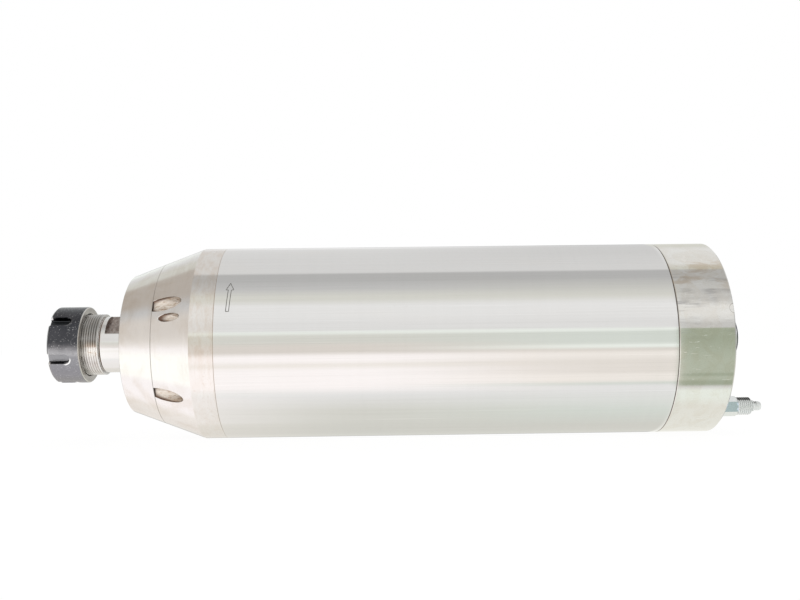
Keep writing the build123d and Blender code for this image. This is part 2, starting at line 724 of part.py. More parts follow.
def make_rear_cap():
    """Rear cap: a thick wall with the water ports, a cavity for the leads, a floor for the connector."""
    body = turned(
        (x_shield_back, r_cavity), (x_shield_back, r_spigot), (x_cap, r_spigot),
        (x_cap, r_barrel - wide_seam_chamfer), (x_cap + wide_seam_chamfer, r_barrel),
        (x_end - rim_chamfer, r_barrel), (x_end, r_barrel - rim_chamfer),
        (x_end, plug_neck / 2 + slide_fit), (x_cavity_end, plug_neck / 2 + slide_fit),
        (x_cavity_end, r_cavity),
    )
    body -= o_ring_groove(x_shield_back + rear_spigot / 2, r_shell_in)
    port_floor = x_end - fitting_shank_length
    for angle in port_angles:
        body -= rod(port_floor - past, x_end + past, fitting_shank / 2 + slide_fit, r_port, angle)
        body -= rod(x_shield_back - past, port_floor, passage_diameter / 2, r_port, angle)
    head_depth = m5["head_h"] + head_sink
    for angle in screw_angles(4):
        body -= rod(x_end - head_depth, x_end + past, m5["head"] / 2 + head_clearance, r_port, angle)
        body -= rod(x_shield_back - past, x_end, m5["d"] / 2 + screw_clearance, r_port, angle)
    for y, z in plug_screw_places():
        body -= Pos(0, y, z) * rod(x_end - plug_screw_depth, x_end + past, m3["d"] / 2)
    notch = Pos(x_end, r_barrel - notch_depth, 0) * Rot(-90, 0, 0) * Cylinder(
        notch_radius, notch_depth + past, align=(Align.CENTER, Align.CENTER, Align.MIN))
    return body - about_x(notch, notch_angle)


def make_rear_cap_screws():
    seat = x_end - m5["head_h"] - head_sink
    reach = seat - x_shield_back + cap_screw_reach
    return group([cap_screw(m5, seat, reach, r_port, a, -1) for a in screw_angles(4)])


def make_rear_seals():
    """O-rings of the rear bearing housing and the rear cap."""
    stations = (x_shield + shield_length / 2, x_shield_back + rear_spigot / 2)
    return group([o_ring(x, r_shell_in - oring / 2) for x in stations])


# ---------------------------------------------------------------- water fittings
def make_water_fitting(angle):
    """Hose fitting: shank, hexagon, outside thread for the hose nut, barbed nozzle, bored right through."""
    hex_start = washer_thickness
    hex_end = hex_start + fitting_hex_length
    thread_end = hex_end + fitting_thread_length
    tip = thread_end + nozzle_length
    barb_start = thread_end + nozzle_throat
    barb_end = barb_start + barb_length
    waist = barb_end + barb_slope
    tip_start = waist + fitting_chamfer / 2
    thread_r = fitting_thread / 2
    barb_r = nozzle_barb / 2
    tip_r = nozzle_tip / 2
    bore_r = nozzle_bore / 2
    turning = turned(
        (-fitting_shank_length, bore_r), (-fitting_shank_length, fitting_shank / 2),
        (hex_end, fitting_shank / 2), (hex_end, thread_r), (thread_end - fitting_chamfer, thread_r),
        (thread_end, thread_r - fitting_chamfer), (thread_end, barb_r - fitting_chamfer),
        (barb_start, barb_r - fitting_chamfer), (barb_start, barb_r), (barb_end, barb_r),
        (waist, tip_r - fitting_chamfer), (tip_start, tip_r), (tip_start + tip_land, tip_r),
        (tip, (tip_r + bore_r) / 2), (tip, bore_r),
    )
    corner_r = fitting_hex / math.sqrt(3)
    blank = turned(
        (hex_start, 0), (hex_start, corner_r - fitting_chamfer), (hex_start + fitting_chamfer / 2, corner_r),
        (hex_end - fitting_chamfer, corner_r), (hex_end, corner_r - 1.6 * fitting_chamfer), (hex_end, 0),
    )
    bar = about_x(hex_rod(hex_start, hex_end, fitting_hex), fitting_hex_turn)
    nut = (bar & blank) - rod(hex_start - past, hex_end + past, bore_r)
    place = Pos(x_end, r_port * math.cos(math.radians(angle)), r_port * math.sin(math.radians(angle)))
    return place * (turning + nut)


def make_fitting_washers():
    rings = []
    x1 = x_end + washer_thickness
    for angle in port_angles:
        disc = rod(x_end, x1, washer_diameter / 2, r_port, angle)
        hole = rod(x_end - past, x1 + past, fitting_shank / 2 + slide_fit, r_port, angle)
        rings.append(disc - hole)
    return group(rings)


# ---------------------------------------------------------------- connector and leads
def plug_screw_places():
    half = plug_screw_spacing / 2
    return [(y, z) for y in (-half, half) for z in (-half, half)]


def make_connector_gasket():
    plate = Pos(x_end, 0, 0) * Box(plug_gasket, plug_flange, plug_flange,
                                   align=(Align.MIN, Align.CENTER, Align.CENTER))
    ends = (x_end - past, x_end + plug_gasket + past)
    plate -= rod(*ends, plug_neck / 2 + slide_fit)
    for y, z in plug_screw_places():
        plate -= Pos(0, y, z) * rod(*ends, m3["d"] / 2 + screw_clearance)
    return plate


def make_connector_shell():
    """Panel connector body: square flange, threaded sleeve outside, barrel through the rear cap."""
    x0 = x_end + plug_gasket
    x1 = x0 + plug_flange_thickness
    tip = x_plug_tip
    outer_r = plug_diameter / 2
    bore_r = outer_r - plug_wall
    flange = Pos(x0, 0, 0) * Box(plug_flange_thickness, plug_flange, plug_flange,
                                 align=(Align.MIN, Align.CENTER, Align.CENTER))
    corners = [edge for edge in flange.edges() if abs(edge.length - plug_flange_thickness) < 1e-6]
    flange = fillet(corners, plug_corner)
    sleeve = turned(
        (x0 - plug_depth, bore_r), (x0 - plug_depth, plug_neck / 2), (x0, plug_neck / 2), (x1, plug_neck / 2),
        (x1, outer_r - plug_relief_depth), (x1 + plug_relief, outer_r - plug_relief_depth),
        *thread_corners(x1 + plug_relief, tip - shaft_chamfer, outer_r, nut_pitch),
        (tip, outer_r - 0.8 * shaft_chamfer), (tip, bore_r),
    )
    body = flange + sleeve - rod(x0 - plug_depth - past, tip + past, bore_r)
    for y, z in plug_screw_places():
        body -= Pos(0, y, z) * rod(x0 - past, x1 + past, m3["d"] / 2 + screw_clearance)
    key = Pos(tip - insulator_recess, 0, bore_r) * Box(
        plug_length - insulator_recess, plug_key_width, plug_key_height)
    return body + (key & rod(x1, tip, (outer_r + bore_r) / 2))


def pin_places():
    return [(pin_circle / 2, 45 + 90 * k) for k in range(pin_count)]


def make_connector_insulator():
    """Moulded block inside the connector that holds the pins."""
    x0 = x_end + plug_gasket - plug_depth
    x1 = x_plug_tip - insulator_recess
    body = rod(x0, x1, plug_diameter / 2 - plug_wall - press_fit)
    for circle, angle in pin_places():
        body -= rod(x0 - past, x1 + past, pin_diameter / 2 + press_fit, circle, angle)
    keyway = Pos(x1, 0, plug_diameter / 2 - plug_wall) * Box(
        2 * (x1 - x_end), plug_key_width + 2 * plug_key_gap, plug_key_height + 2 * plug_key_gap)
    return body - keyway


def make_connector_pins():
    x1 = x_plug_tip - pin_recess
    pins = []
    for circle, angle in pin_places():
        point = Pos(x1, circle * math.cos(math.radians(angle)), circle * math.sin(math.radians(angle)))
        pins.append(rod(x_pin_tail, x1, pin_diameter / 2, circle, angle) + point * Sphere(pin_diameter / 2))
    return group(pins)


def make_connector_screws():
    seat = x_end + plug_gasket + plug_flange_thickness
    screws = []
    for y, z in plug_screw_places():
        screw = cap_screw(m3, seat, seat - x_end + plug_screw_depth - 2 * past, 0, 0, -1)
        screws.append(Pos(0, y, z) * screw)
    return group(screws)


def lead_angles():
    return [lead_first_angle + lead_pitch * k for k in range(pin_count)]


def make_motor_leads():
    """One lead from the windings to each pin, through its own hole in the rear bearing housing."""
    start = x_core_end + end_turn_length
    bend = x_shaft_end - lead_straight
    leads = []
    for angle, (circle, pin_angle) in zip(lead_angles(), sorted(pin_places(), key=lead_order)):
        y = r_lead * math.cos(math.radians(angle))
        z = r_lead * math.sin(math.radians(angle))
        py = circle * math.cos(math.radians(pin_angle))
        pz = circle * math.sin(math.radians(pin_angle))
        route = FilletPolyline(
            (start, y, z), (bend, y, z), (x_pin_tail - lead_straight, py, pz), (x_pin_tail, py, pz),
            radius=list(lead_bends))
        leads.append(sweep(Plane(route @ 0, z_dir=route % 0) * Circle(lead_diameter / 2), path=route))
    return group(leads)


def lead_order(place):
    """Pins from the +Y side to the -Y side, so that the leads don't cross."""
    circle, angle = place
    return -circle * math.cos(math.radians(angle + 5))


# ---------------------------------------------------------------- build and write
front_a = bearing(x_front_bearing, front_bearing)
front_b = bearing(x_front_bearing_b, front_bearing)
rear_a = bearing(x_rear_bearing, rear_bearing)
rear_b = bearing(x_rear_bearing_b, rear_bearing)
front_pitch = (front_bearing["bore"] + front_bearing["od"]) / 4
rear_pitch = (rear_bearing["bore"] + rear_bearing["od"]) / 4
front_gap = (x_front_bearing + front_bearing["width"], x_front_bearing_b)
rear_gap = (x_rear_bearing + rear_bearing["width"], x_rear_bearing_b)

parts = {
    "collet": make_collet(),
    "collet_nut": make_collet_nut(),
    "spindle_shaft": make_spindle_shaft(),
    "slinger_ring": make_slinger(),
    "front_bearing_a_inner_ring": front_a["inner"],
    "front_bearing_b_inner_ring": front_b["inner"],
    "front_inner_spacer": tube(*front_gap, r_seat + press_fit, front_pitch - front_spacer_gap),
    "front_lock_nut": lock_nut(x_front_stack_end, r_seat),
    "rotor_core": make_rotor_core(),
    "rotor_cage": make_rotor_cage(),
    "front_balance_ring": make_balance_ring(x_front_balance),
    "rear_balance_ring": make_balance_ring(x_rear_balance),
    "rear_bearing_a_inner_ring": rear_a["inner"],
    "rear_bearing_b_inner_ring": rear_b["inner"],
    "rear_inner_spacer": tube(*rear_gap, r_rear_seat + press_fit, rear_pitch - rear_spacer_gap),
    "rear_lock_nut": lock_nut(x_rear_stack_end, r_rear_seat),
    "front_bearing_a_balls": front_a["balls"],
    "front_bearing_b_balls": front_b["balls"],
    "front_bearing_a_cage": front_a["cage"],
    "front_bearing_b_cage": front_b["cage"],
    "rear_bearing_a_balls": rear_a["balls"],
    "rear_bearing_b_balls": rear_b["balls"],
    "rear_bearing_a_cage": rear_a["cage"],
    "rear_bearing_b_cage": rear_b["cage"],
    "nose_ring": make_nose_ring(),
    "nose_ring_screws": make_nose_ring_screws(),
    "front_housing": make_front_housing(),
    "front_housing_screws": make_front_housing_screws(),
    "front_bearing_a_outer_ring": front_a["outer"],
    "front_bearing_b_outer_ring": front_b["outer"],
    "front_outer_spacer": tube(*front_gap, front_pitch + front_spacer_gap, front_bearing["od"] / 2),
    "outer_shell": make_outer_shell(),
    "water_jacket": make_water_jacket(),
    "jacket_seals": make_jacket_seals(),
    "stator_core": make_stator_core(),
    "stator_winding": make_stator_winding(),
    "motor_leads": make_motor_leads(),
    "rear_bearing_housing": make_rear_shield(),
    "rear_housing_screws": make_rear_shield_screws(),
    "preload_springs": make_preload_springs(),
    "rear_bearing_a_outer_ring": rear_a["outer"],
    "rear_bearing_b_outer_ring": rear_b["outer"],
    "rear_outer_spacer": tube(*rear_gap, rear_pitch + rear_spacer_gap, rear_bearing["od"] / 2),
    "rear_cap": make_rear_cap(),
    "rear_cap_screws": make_rear_cap_screws(),
    "rear_seals": make_rear_seals(),
    "water_inlet_fitting": make_water_fitting(port_angles[0]),
    "water_outlet_fitting": make_water_fitting(port_angles[1]),
    "fitting_washers": make_fitting_washers(),
    "connector_gasket": make_connector_gasket(),
    "connector_shell": make_connector_shell(),
    "connector_insulator": make_connector_insulator(),
    "connector_pins": make_connector_pins(),
    "connector_screws": make_connector_screws(),
}

os.makedirs("parts", exist_ok=True)
for name, shape in parts.items():
    export_step(shape, f"parts/{name}.step")
print(len(parts), "nodes,", round(x_plug_tip, 2), "mm to the connector rim")
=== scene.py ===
# %% [markdown]
# # A water-cooled motor spindle and its finishes
# The part arrives as a packed model made of separate nodes, each in its true place.
# This notebook gives every node a finish made of shader nodes, models again the few pieces
# whose small forms matter (threads, slots, barbs), and lights the whole like a bright workshop.
# The first cell loads the model. Nothing in it is ever moved, so all sizes stay those of the
# drawing.

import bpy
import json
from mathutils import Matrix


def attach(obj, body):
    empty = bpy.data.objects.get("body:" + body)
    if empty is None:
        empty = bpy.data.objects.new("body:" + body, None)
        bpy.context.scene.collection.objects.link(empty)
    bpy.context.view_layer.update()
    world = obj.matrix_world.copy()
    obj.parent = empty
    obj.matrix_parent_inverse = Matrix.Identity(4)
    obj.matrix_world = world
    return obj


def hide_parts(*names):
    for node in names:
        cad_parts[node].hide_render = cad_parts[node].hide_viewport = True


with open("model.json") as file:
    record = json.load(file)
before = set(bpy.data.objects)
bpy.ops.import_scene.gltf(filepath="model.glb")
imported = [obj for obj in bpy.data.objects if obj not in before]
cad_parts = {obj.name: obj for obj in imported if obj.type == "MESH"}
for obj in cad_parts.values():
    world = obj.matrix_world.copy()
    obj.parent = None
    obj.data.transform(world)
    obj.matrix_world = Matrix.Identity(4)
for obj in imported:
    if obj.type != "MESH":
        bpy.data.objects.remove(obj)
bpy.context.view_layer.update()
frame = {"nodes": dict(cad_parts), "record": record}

# %% Tools and units
import json
import math

import bmesh
import bpy
from mathutils import Matrix, Vector

mm = 0.001


def degrees(angle):
    return math.radians(angle)


# %% [markdown]
# ## Stations along the spindle
# A turned machine is easiest to describe by where each shoulder lies along its axis.
# The axis is X, the collet opens toward -X, and the barrel is 125 mm across.
# Every piece below takes its place from this short table, in millimetres.

# %% Stations and radii
nut_front, nut_back, nut_r = 0.5, 21.0, 25.0
slot_half_width, slot_floor, slot_round_at = 3.0, 21.4, 11.6
slot_first, slot_every = 21.8, 60
thread_end, relief_end, thread_r, neck_r = 31.6, 32.5, 20.0, 18.5
flat_start, flat_end, flat_half, flat_angle = 35.3, 48.3, 15.0, 122.2
nose_face, ring_back, holes_end, land_start, shell_start = 52.4, 74.1, 93.5, 99.1, 113.6
shell_end, cap_end, nick_height = 393.6, 428.1, 17.2
barrel_r, nose_r = 62.5, 45.0
fitting_circle, fitting_angles = 52.4, (237.7, 302.3)
fitting_at = [(fitting_circle * math.cos(degrees(t)), fitting_circle * math.sin(degrees(t)))
              for t in fitting_angles]
cone_slope = (barrel_r - nose_r) / (land_start - nose_face)
print("cone half angle: %.1f degrees" % math.degrees(math.atan(cone_slope)))

# %% [markdown]
# ## Shader maths that reads like arithmetic
# A finish is a small graph of nodes. Written out by hand the graph hides the idea, so a
# `Value` wraps one number socket and turns `+ - * /` into Math nodes. A `Finish` owns one
# node tree and makes every other node through a single method. Colours never pass through
# Math nodes, because those would turn them grey; they go through Mix.


# %% The value class
class Value:
    """A number that may change over the surface."""

    def __init__(self, finish, socket):
        self.finish = finish
        self.socket = socket

    def __add__(self, other):
        return self.finish.maths("ADD", self, other)

    def __sub__(self, other):
        return self.finish.maths("SUBTRACT", self, other)

    def __rsub__(self, other):
        return self.finish.maths("SUBTRACT", other, self)

    def __mul__(self, other):
        return self.finish.maths("MULTIPLY", self, other)

    def __truediv__(self, other):
        return self.finish.maths("DIVIDE", self, other)

    __radd__ = __add__
    __rmul__ = __mul__


# %% The finish class
class Finish:
    """One node tree, and the few moves this spindle's finishes need."""

    def __init__(self, tree):
        self.tree = tree
        tree.nodes.clear()

    def node(self, kind, settings=(), sockets=(), out=0):
        """Makes a node: its settings first, then its socket values and links."""
        made = self.tree.nodes.new(kind)
        for name, value in dict(settings).items():
            if name == "stops":
                self.set_stops(made.color_ramp, value)
            else:
                setattr(made, name, value)
        for name, value in dict(sockets).items():
            self.plug(made.inputs[name], value)
        return Value(self, made.outputs[out]) if made.outputs else made

    def plug(self, socket, value):
        if isinstance(value, Value):
            self.tree.links.new(value.socket, socket)
        elif socket.type == "RGBA" and len(value) == 3:
            socket.default_value = (*value, 1)
        else:
            socket.default_value = value

    def set_stops(self, ramp, stops):
        while len(ramp.elements) < len(stops):
            ramp.elements.new(1.0)
        for element, (place, colour) in zip(ramp.elements, stops):
            element.position = place
            element.color = (*colour, 1)

    def maths(self, operation, a, b):
        return self.node("ShaderNodeMath", {"operation": operation}, {0: a, 1: b})

    def mix(self, share, a, b):
        """Colour a, going over to colour b where share is 1."""
        return self.node("ShaderNodeMix", {"data_type": "RGBA"}, {0: share, 6: a, 7: b}, out=2)

    def step(self, value, low, high):
        """0 below low, 1 above high, and a soft rise between."""
        return self.node(
            "ShaderNodeMapRange", {"interpolation_type": "SMOOTHSTEP"},
            {"Value": value, "From Min": low, "From Max": high})

    def fall(self, value, low, high):
        """1 below low, 0 above high."""
        return 1 - self.step(value, low, high)

    def band(self, value, rise_from, rise_to, fall_from, fall_to):
        """1 between a rise and a fall, and 0 outside them."""
        return self.step(value, rise_from, rise_to) * self.fall(value, fall_from, fall_to)

    def distance(self, across, up):
        return self.maths("POWER", across * across + up * up, 0.5)

    def where(self):
        """x, y, z and the distance from the axis, all in millimetres."""
        spot = self.node("ShaderNodeTexCoord", out=3)
        scaled = self.node(
            "ShaderNodeVectorMath", {"operation": "SCALE"}, {0: spot, "Scale": 1 / mm})
        parts = self.node("ShaderNodeSeparateXYZ", sockets={0: scaled})
        x, y, z = (Value(self, socket) for socket in parts.socket.node.outputs)
        return x, y, z, self.distance(y, z)

    def noise(self, x, y, z, detail=3.0, roughness=0.5, distortion=0.0):
        """Clouds from 0 to 1 at a place of its own coordinates."""
        place = self.node("ShaderNodeCombineXYZ", sockets={0: x, 1: y, 2: z})
        return self.node(
            "ShaderNodeTexNoise", {"noise_dimensions": "3D"},
            {"Vector": place, "Scale": 1.0, "Detail": detail, "Roughness": roughness,
             "Distortion": distortion})

    def rings(self, x, y, z, radius, lines, around, detail=2.0):
        """Turning marks: quick to change along the axis, slow to change round it."""
        return self.noise(x * lines, y / radius * around, z / radius * around, detail)

    def bump(self, height, depth):
        """A relief whose full height is depth millimetres."""
        return self.node(
            "ShaderNodeBump", sockets={"Strength": 1.0, "Distance": depth * mm, "Height": height})

    def metal(self, colour, roughness, normal, metallic=1.0):
        """Ends the tree in one metal shader."""
        sockets = {
            "Base Color": colour, "Roughness": roughness, "Metallic": metallic, "Normal": normal}
        shader = self.node("ShaderNodeBsdfPrincipled", sockets=sockets)
        return self.node("ShaderNodeOutputMaterial", sockets={"Surface": shader})


def new_material(name):
    material = bpy.data.materials.new(name)
    material.use_nodes = True
    return material, Finish(material.node_tree)


print("moves of a finish:", [name for name in vars(Finish) if name[0] != "_"])

# %% [markdown]
# ## The camera
# A long machine is shown from one side, nearly level, so both its conical nose and its flat
# rear rim are seen a little from within the barrel's length. The three small turns below are
# pan, tilt and roll, applied one after the other to a camera that looks along +Y.

# %% Camera
camera_place = Vector((218.38, -594.78, 0.0)) * mm
pan, tilt, roll = degrees(0.8024), degrees(-2.6236), degrees(-0.7285)
level = Matrix(((1, 0, 0), (0, 0, -1), (0, 1, 0)))
turn = (
    Matrix.Rotation(roll, 3, "Z")
    @ Matrix.Rotation(tilt, 3, "X")
    @ Matrix(((math.cos(pan), 0, -math.sin(pan)), (0, 1, 0), (math.sin(pan), 0, math.cos(pan))))
)
right, down, forward = turn @ level
camera_data = bpy.data.cameras.new("bench_camera")
camera_data.lens = 40.03
camera_data.sensor_width = 36.0
camera_data.clip_start = 0.01
camera_data.clip_end = 100.0
camera = bpy.data.objects.new("bench_camera", camera_data)
bpy.context.scene.collection.objects.link(camera)
camera.matrix_world = Matrix.Translation(camera_place) @ Matrix(
    (right, -down, -forward)).transposed().to_4x4()
bpy.context.scene.camera = camera
bpy.context.scene.view_settings.view_transform = "Standard"
print("camera looks along", [round(v, 3) for v in forward])

# %% [markdown]
# ## The room as a gradient
# Polished steel has hardly any colour of its own: it shows the room. A cylinder sorts that
# room by height, so the world here is a ramp over the angle about the spindle's axis, from
# the table below, through the window in front, to the ceiling and the wall behind.
# The room is first painted with a few plain surfaces, and each side of it is then a list
# saying where those surfaces lie. Changing one paint changes it wherever it is seen.

# %% Paints of the room
paints = {
    "doorway": (0.50, 0.50, 0.50),
    "brown": (0.55, 0.50, 0.45),
    "corner": (0.55, 0.55, 0.55),
    "dim": (0.65, 0.65, 0.65),
    "low": (0.70, 0.70, 0.70),
    "beneath": (0.75, 0.75, 0.70),
    "grey": (0.80, 0.80, 0.75),
    "ceiling": (0.80, 0.80, 0.80),
    "mint": (0.80, 0.85, 0.80),
    "tan": (0.80, 0.75, 0.70),
    "warm": (0.85, 0.80, 0.75),
    "window": (0.90, 0.90, 0.90),
    "cream": (0.95, 0.90, 0.85),
    "wall": (0.95, 0.95, 0.95),
    "cloth": (1.05, 1.00, 0.95),
    "pale": (0.95, 0.95, 0.90),
    "sill": (1.00, 1.05, 1.00),
    "sheet": (1.20, 1.15, 1.15),
    "glare": (1.30, 1.30, 1.25),
    "olive": (0.45, 0.50, 0.40),
    "pale_olive": (0.55, 0.60, 0.50),
}

# %% Where the paints lie
# Degrees about the axis: 0 in front, 90 overhead, -90 underneath, 180 behind. Between two
# bands the ramp blends, so a narrow gap makes a crisp edge.
room_bands = [
    (-180, -170, "doorway"), (-160, -130, "beneath"), (-105, -90, "grey"), (-66, -66, "wall"),
    (-55, -33, "sheet"), (-28, -28, "cloth"), (-22, -17, "sheet"), (-12, -5, "warm"),
    (0, 8, "grey"), (9, 11, "sill"), (13, 22, "window"), (30, 43, "wall"), (50, 55, "grey"),
    (65, 65, "dim"),
    (78, 88, "corner"), (90, 150, "ceiling"), (163, 163, "wall"), (170, 170, "doorway"),
]
rear_bands = [
    (-170, -170, "doorway"), (-160, -130, "beneath"), (-95, -95, "mint"), (-62, -58, "wall"),
    (-55, -55, "mint"), (-51, -44, "cloth"), (-40, -26, "cream"), (-20, -17, "cloth"),
    (-13, -13, "warm"), (-10, -8, "sill"), (-5, 8, "mint"), (9, 11, "sill"), (13, 22, "window"),
    (30, 43, "wall"), (52, 52, "grey"), (78, 88, "corner"), (90, 90, "ceiling"), (150, 160, "low"),
    (170, 170, "doorway"),
]
cap_bands = [
    (-180, -90, "pale"), (-75, -66, "sill"), (-61, -61, "ceiling"), (-58, -54, "olive"),
    (-51, -48, "pale_olive"), (-46, -44, "olive"), (-42, -28, "pale_olive"), (-4, 10, "olive"),
    (11, 16, "low"), (25, 38, "wall"), (46, 54, "low"), (65, 65, "dim"), (78, 88, "corner"),
    (90, 92, "beneath"), (100, 135, "window"), (150, 180, "beneath"),
]
nose_bands = [
    (-180, -170, "doorway"), (-160, -140, "cream"), (-118, -118, "cloth"), (-108, -68, "sheet"),
    (-64, -24, "glare"), (-11, -11, "sheet"), (0, 0, "cream"), (10, 10, "warm"), (24, 42, "tan"),
    (60, 60, "dim"), (76, 116, "brown"), (117, 128, "beneath"), (140, 140, "ceiling"),
    (160, 163, "sill"), (171, 180, "doorway"),
]
room_top = 1.3  # the brightest paint: a ramp holds colours up to 1, so all are divided by it


def stops_of(bands):
    """The ramp's stops: two for a wide band, one for a band of a single angle."""
    stops = []
    for start, end, paint in bands:
        for angle in sorted({start, end}):
            stops.append(((angle + 180) / 360, [level / room_top for level in paints[paint]]))
    return stops


print("paints:", len(paints))
print("stops:", [len(stops_of(b)) for b in (room_bands, rear_bands, cap_bands, nose_bands)])

# %% [markdown]
# The room is not the same from end to end. The nose is a cone and looks toward the far left,
# where the table is brighter and the ceiling starts later. Toward the right the table's edge
# comes closer, and beyond the barrel's end stands something olive, which only the polished
# rear cap catches. Each side has its own ramp, and the direction's x blends one into the next.
# The camera itself sees plain white behind the spindle.

# %% World
# `ahead` runs from -1 toward the nose to 1 toward the rear, and `turned` is a part of a full
# turn about the axis: -0.25 below, 0 in front and 0.25 above.
world = bpy.data.worlds.new("bright_workshop")
bpy.context.scene.world = world
world.use_nodes = True
room = Finish(world.node_tree)
sight = room.node("ShaderNodeTexCoord", out=0)
sight_parts = room.node("ShaderNodeSeparateXYZ", sockets={0: sight})
ahead, side, height = (Value(room, socket) for socket in sight_parts.socket.node.outputs)
turned = room.maths("ARCTAN2", height, 0 - side) / (2 * math.pi)
barrel_room, rear_room, cap_room, nose_room = (
    room.node("ShaderNodeValToRGB", {"stops": stops_of(bands)}, {0: turned + 0.5})
    for bands in (room_bands, rear_bands, cap_bands, nose_bands))
seen = room.mix(room.step(ahead, -0.05, 0.26), barrel_room, rear_room)
# the nose's side of the room reaches further back along the table than along the ceiling
table_side = room.fall(turned, -0.21, -0.15)
toward_nose = room.fall(ahead, -0.40, -0.24)
near_nose = room.fall(ahead, -0.28, -0.02) * table_side * 0.62
seen = room.mix(room.maths("MAXIMUM", toward_nose, near_nose), seen, nose_room)
# the cap's side of the room starts at a sharp edge, which bends with the height
rear_rim = ahead + turned * turned * 0.155
olive = room.band(rear_rim, 0.3095, 0.3145, 0.42, 0.50)
seen = room.mix(olive, seen, cap_room)
lit = room.node("ShaderNodeBackground", sockets={"Color": seen, "Strength": room_top})
plain = room.node("ShaderNodeBackground", sockets={"Color": (1, 1, 1), "Strength": 1.0})
camera_ray = room.node("ShaderNodeLightPath", out=0)
shown = room.node("ShaderNodeMixShader", sockets={0: camera_ray, 1: lit, 2: plain})
room.node("ShaderNodeOutputWorld", sockets={"Surface": shown})
print("world nodes:", len(world.node_tree.nodes))

# %% [markdown]
# ## The table
# The spindle lies on a white sheet. A flat sheet lit by a soft room is as bright as the wall
# behind it, so most of its light is plain emission, and a small matt share lets the barrel's
# faint shadow show. The steel reads its reflection of the table from the lower half of the
# room's ramp, so the sheet itself is kept out of reflections.

# %% Table sheet
sheet_mesh = bpy.data.meshes.new("table_sheet")
reach, middle, gap = 6.0, 0.2, 0.0004
sheet_glow, matt_share = 1.055, 0.12
sheet_mesh.from_pydata(
    [(-reach, -reach, 0), (reach, -reach, 0), (reach, reach, 0), (-reach, reach, 0)],
    [], [(0, 1, 2, 3)])
sheet = bpy.data.objects.new("table_sheet", sheet_mesh)
sheet.location = (middle, 0, -barrel_r * mm - gap)
bpy.context.scene.collection.objects.link(sheet)
white, paper = new_material("white_sheet")
glow = paper.node("ShaderNodeEmission", sockets={"Color": (1, 1, 1), "Strength": sheet_glow})
matt = paper.node("ShaderNodeBsdfDiffuse", sockets={"Color": (0.97, 0.97, 0.97)})
blend = paper.node("ShaderNodeMixShader", sockets={0: matt_share, 1: glow, 2: matt})
paper.node("ShaderNodeOutputMaterial", sockets={"Surface": blend})
sheet_mesh.materials.append(white)
sheet.visible_glossy = False
print("table at z = %.1f mm" % (sheet.location.z / mm))

# %% [markdown]
# ## Finish of the barrel
# The long barrel is a stainless tube, finely brushed round its girth. Its reflections stay
# sharp at the edges of the bands, so the roughness is low, and the brushing shows as faint
# lines round the tube. A relief alone would do that on a dull metal; here a slight change of
# tone and roughness carries it, because a deep relief would break the bands up.

# %% Brushed barrel steel
def barrel_steel():
    material, finish = new_material("barrel_brushed_steel")
    x, y, z, r = finish.where()
    fine = finish.rings(x, y, z, r, 5.0, 1.3)
    broad = finish.rings(x, y, z, r, 0.22, 0.8, 4.0)
    drawn = finish.noise(x * 0.004, y * 0.42, z * 0.42, 3.0, 0.6)
    cloud = finish.noise(x * 0.012, y * 0.05, z * 0.05, 3.0)
    brushed = fine * 0.3 + broad * 0.3 + drawn * 0.4
    tone = finish.mix(brushed, (0.765, 0.757, 0.742), (0.845, 0.838, 0.825))
    tone = finish.mix(finish.step(cloud, 0.5, 0.75) * 0.25, tone, (0.82, 0.79, 0.75))
    # streaks along the tube, left by wiping and by the drawing of the tube
    combed = finish.noise(x * 0.006, y * 1.5, z * 1.5, 4.0, 0.65)
    tone = finish.mix(finish.step(combed, 0.50, 0.72) * 0.30, tone, (0.70, 0.69, 0.67))
    tone = finish.mix(finish.fall(combed, 0.24, 0.40), tone, (0.88, 0.875, 0.865))
    fleck = finish.noise(x * 0.5, y * 0.5, z * 0.5, 1.0)
    tone = finish.mix(finish.step(fleck, 0.80, 0.84) * 0.35, tone, (0.55, 0.53, 0.50))
    # a rusty line at the front joint and a dark one at the rear
    front_rust = finish.fall(x, shell_start + 0.05, shell_start + 0.5)
    tone = finish.mix(front_rust * (0.3 + broad * 0.6), tone, (0.40, 0.25, 0.15))
    rear_joint = finish.step(x, shell_end - 0.22, shell_end - 0.12)
    tone = finish.mix(rear_joint * (0.6 + drawn * 0.5), tone, (0.13, 0.11, 0.10))
    near_seam = finish.step(x, shell_end - 14, shell_end - 2)
    rough = 0.05 + fine * 0.025 + broad * 0.02 - near_seam * 0.045 + rear_joint * 0.3
    finish.metal(tone, rough, finish.bump(fine * 0.1 + combed, 0.0022))
    return material


barrel = barrel_steel()
print(barrel.name, len(barrel.node_tree.nodes), "nodes")

# %% [markdown]
# ## Finish of the conical nose
# The nose ring and the cone behind it are turned, then left satin and handled a lot. The
# colour is warmer than the barrel's, the turning marks are coarser, and there are pale brown
# clouds of old coolant. The short straight land behind the cone is almost as bright as the
# barrel but with blotches of tan.

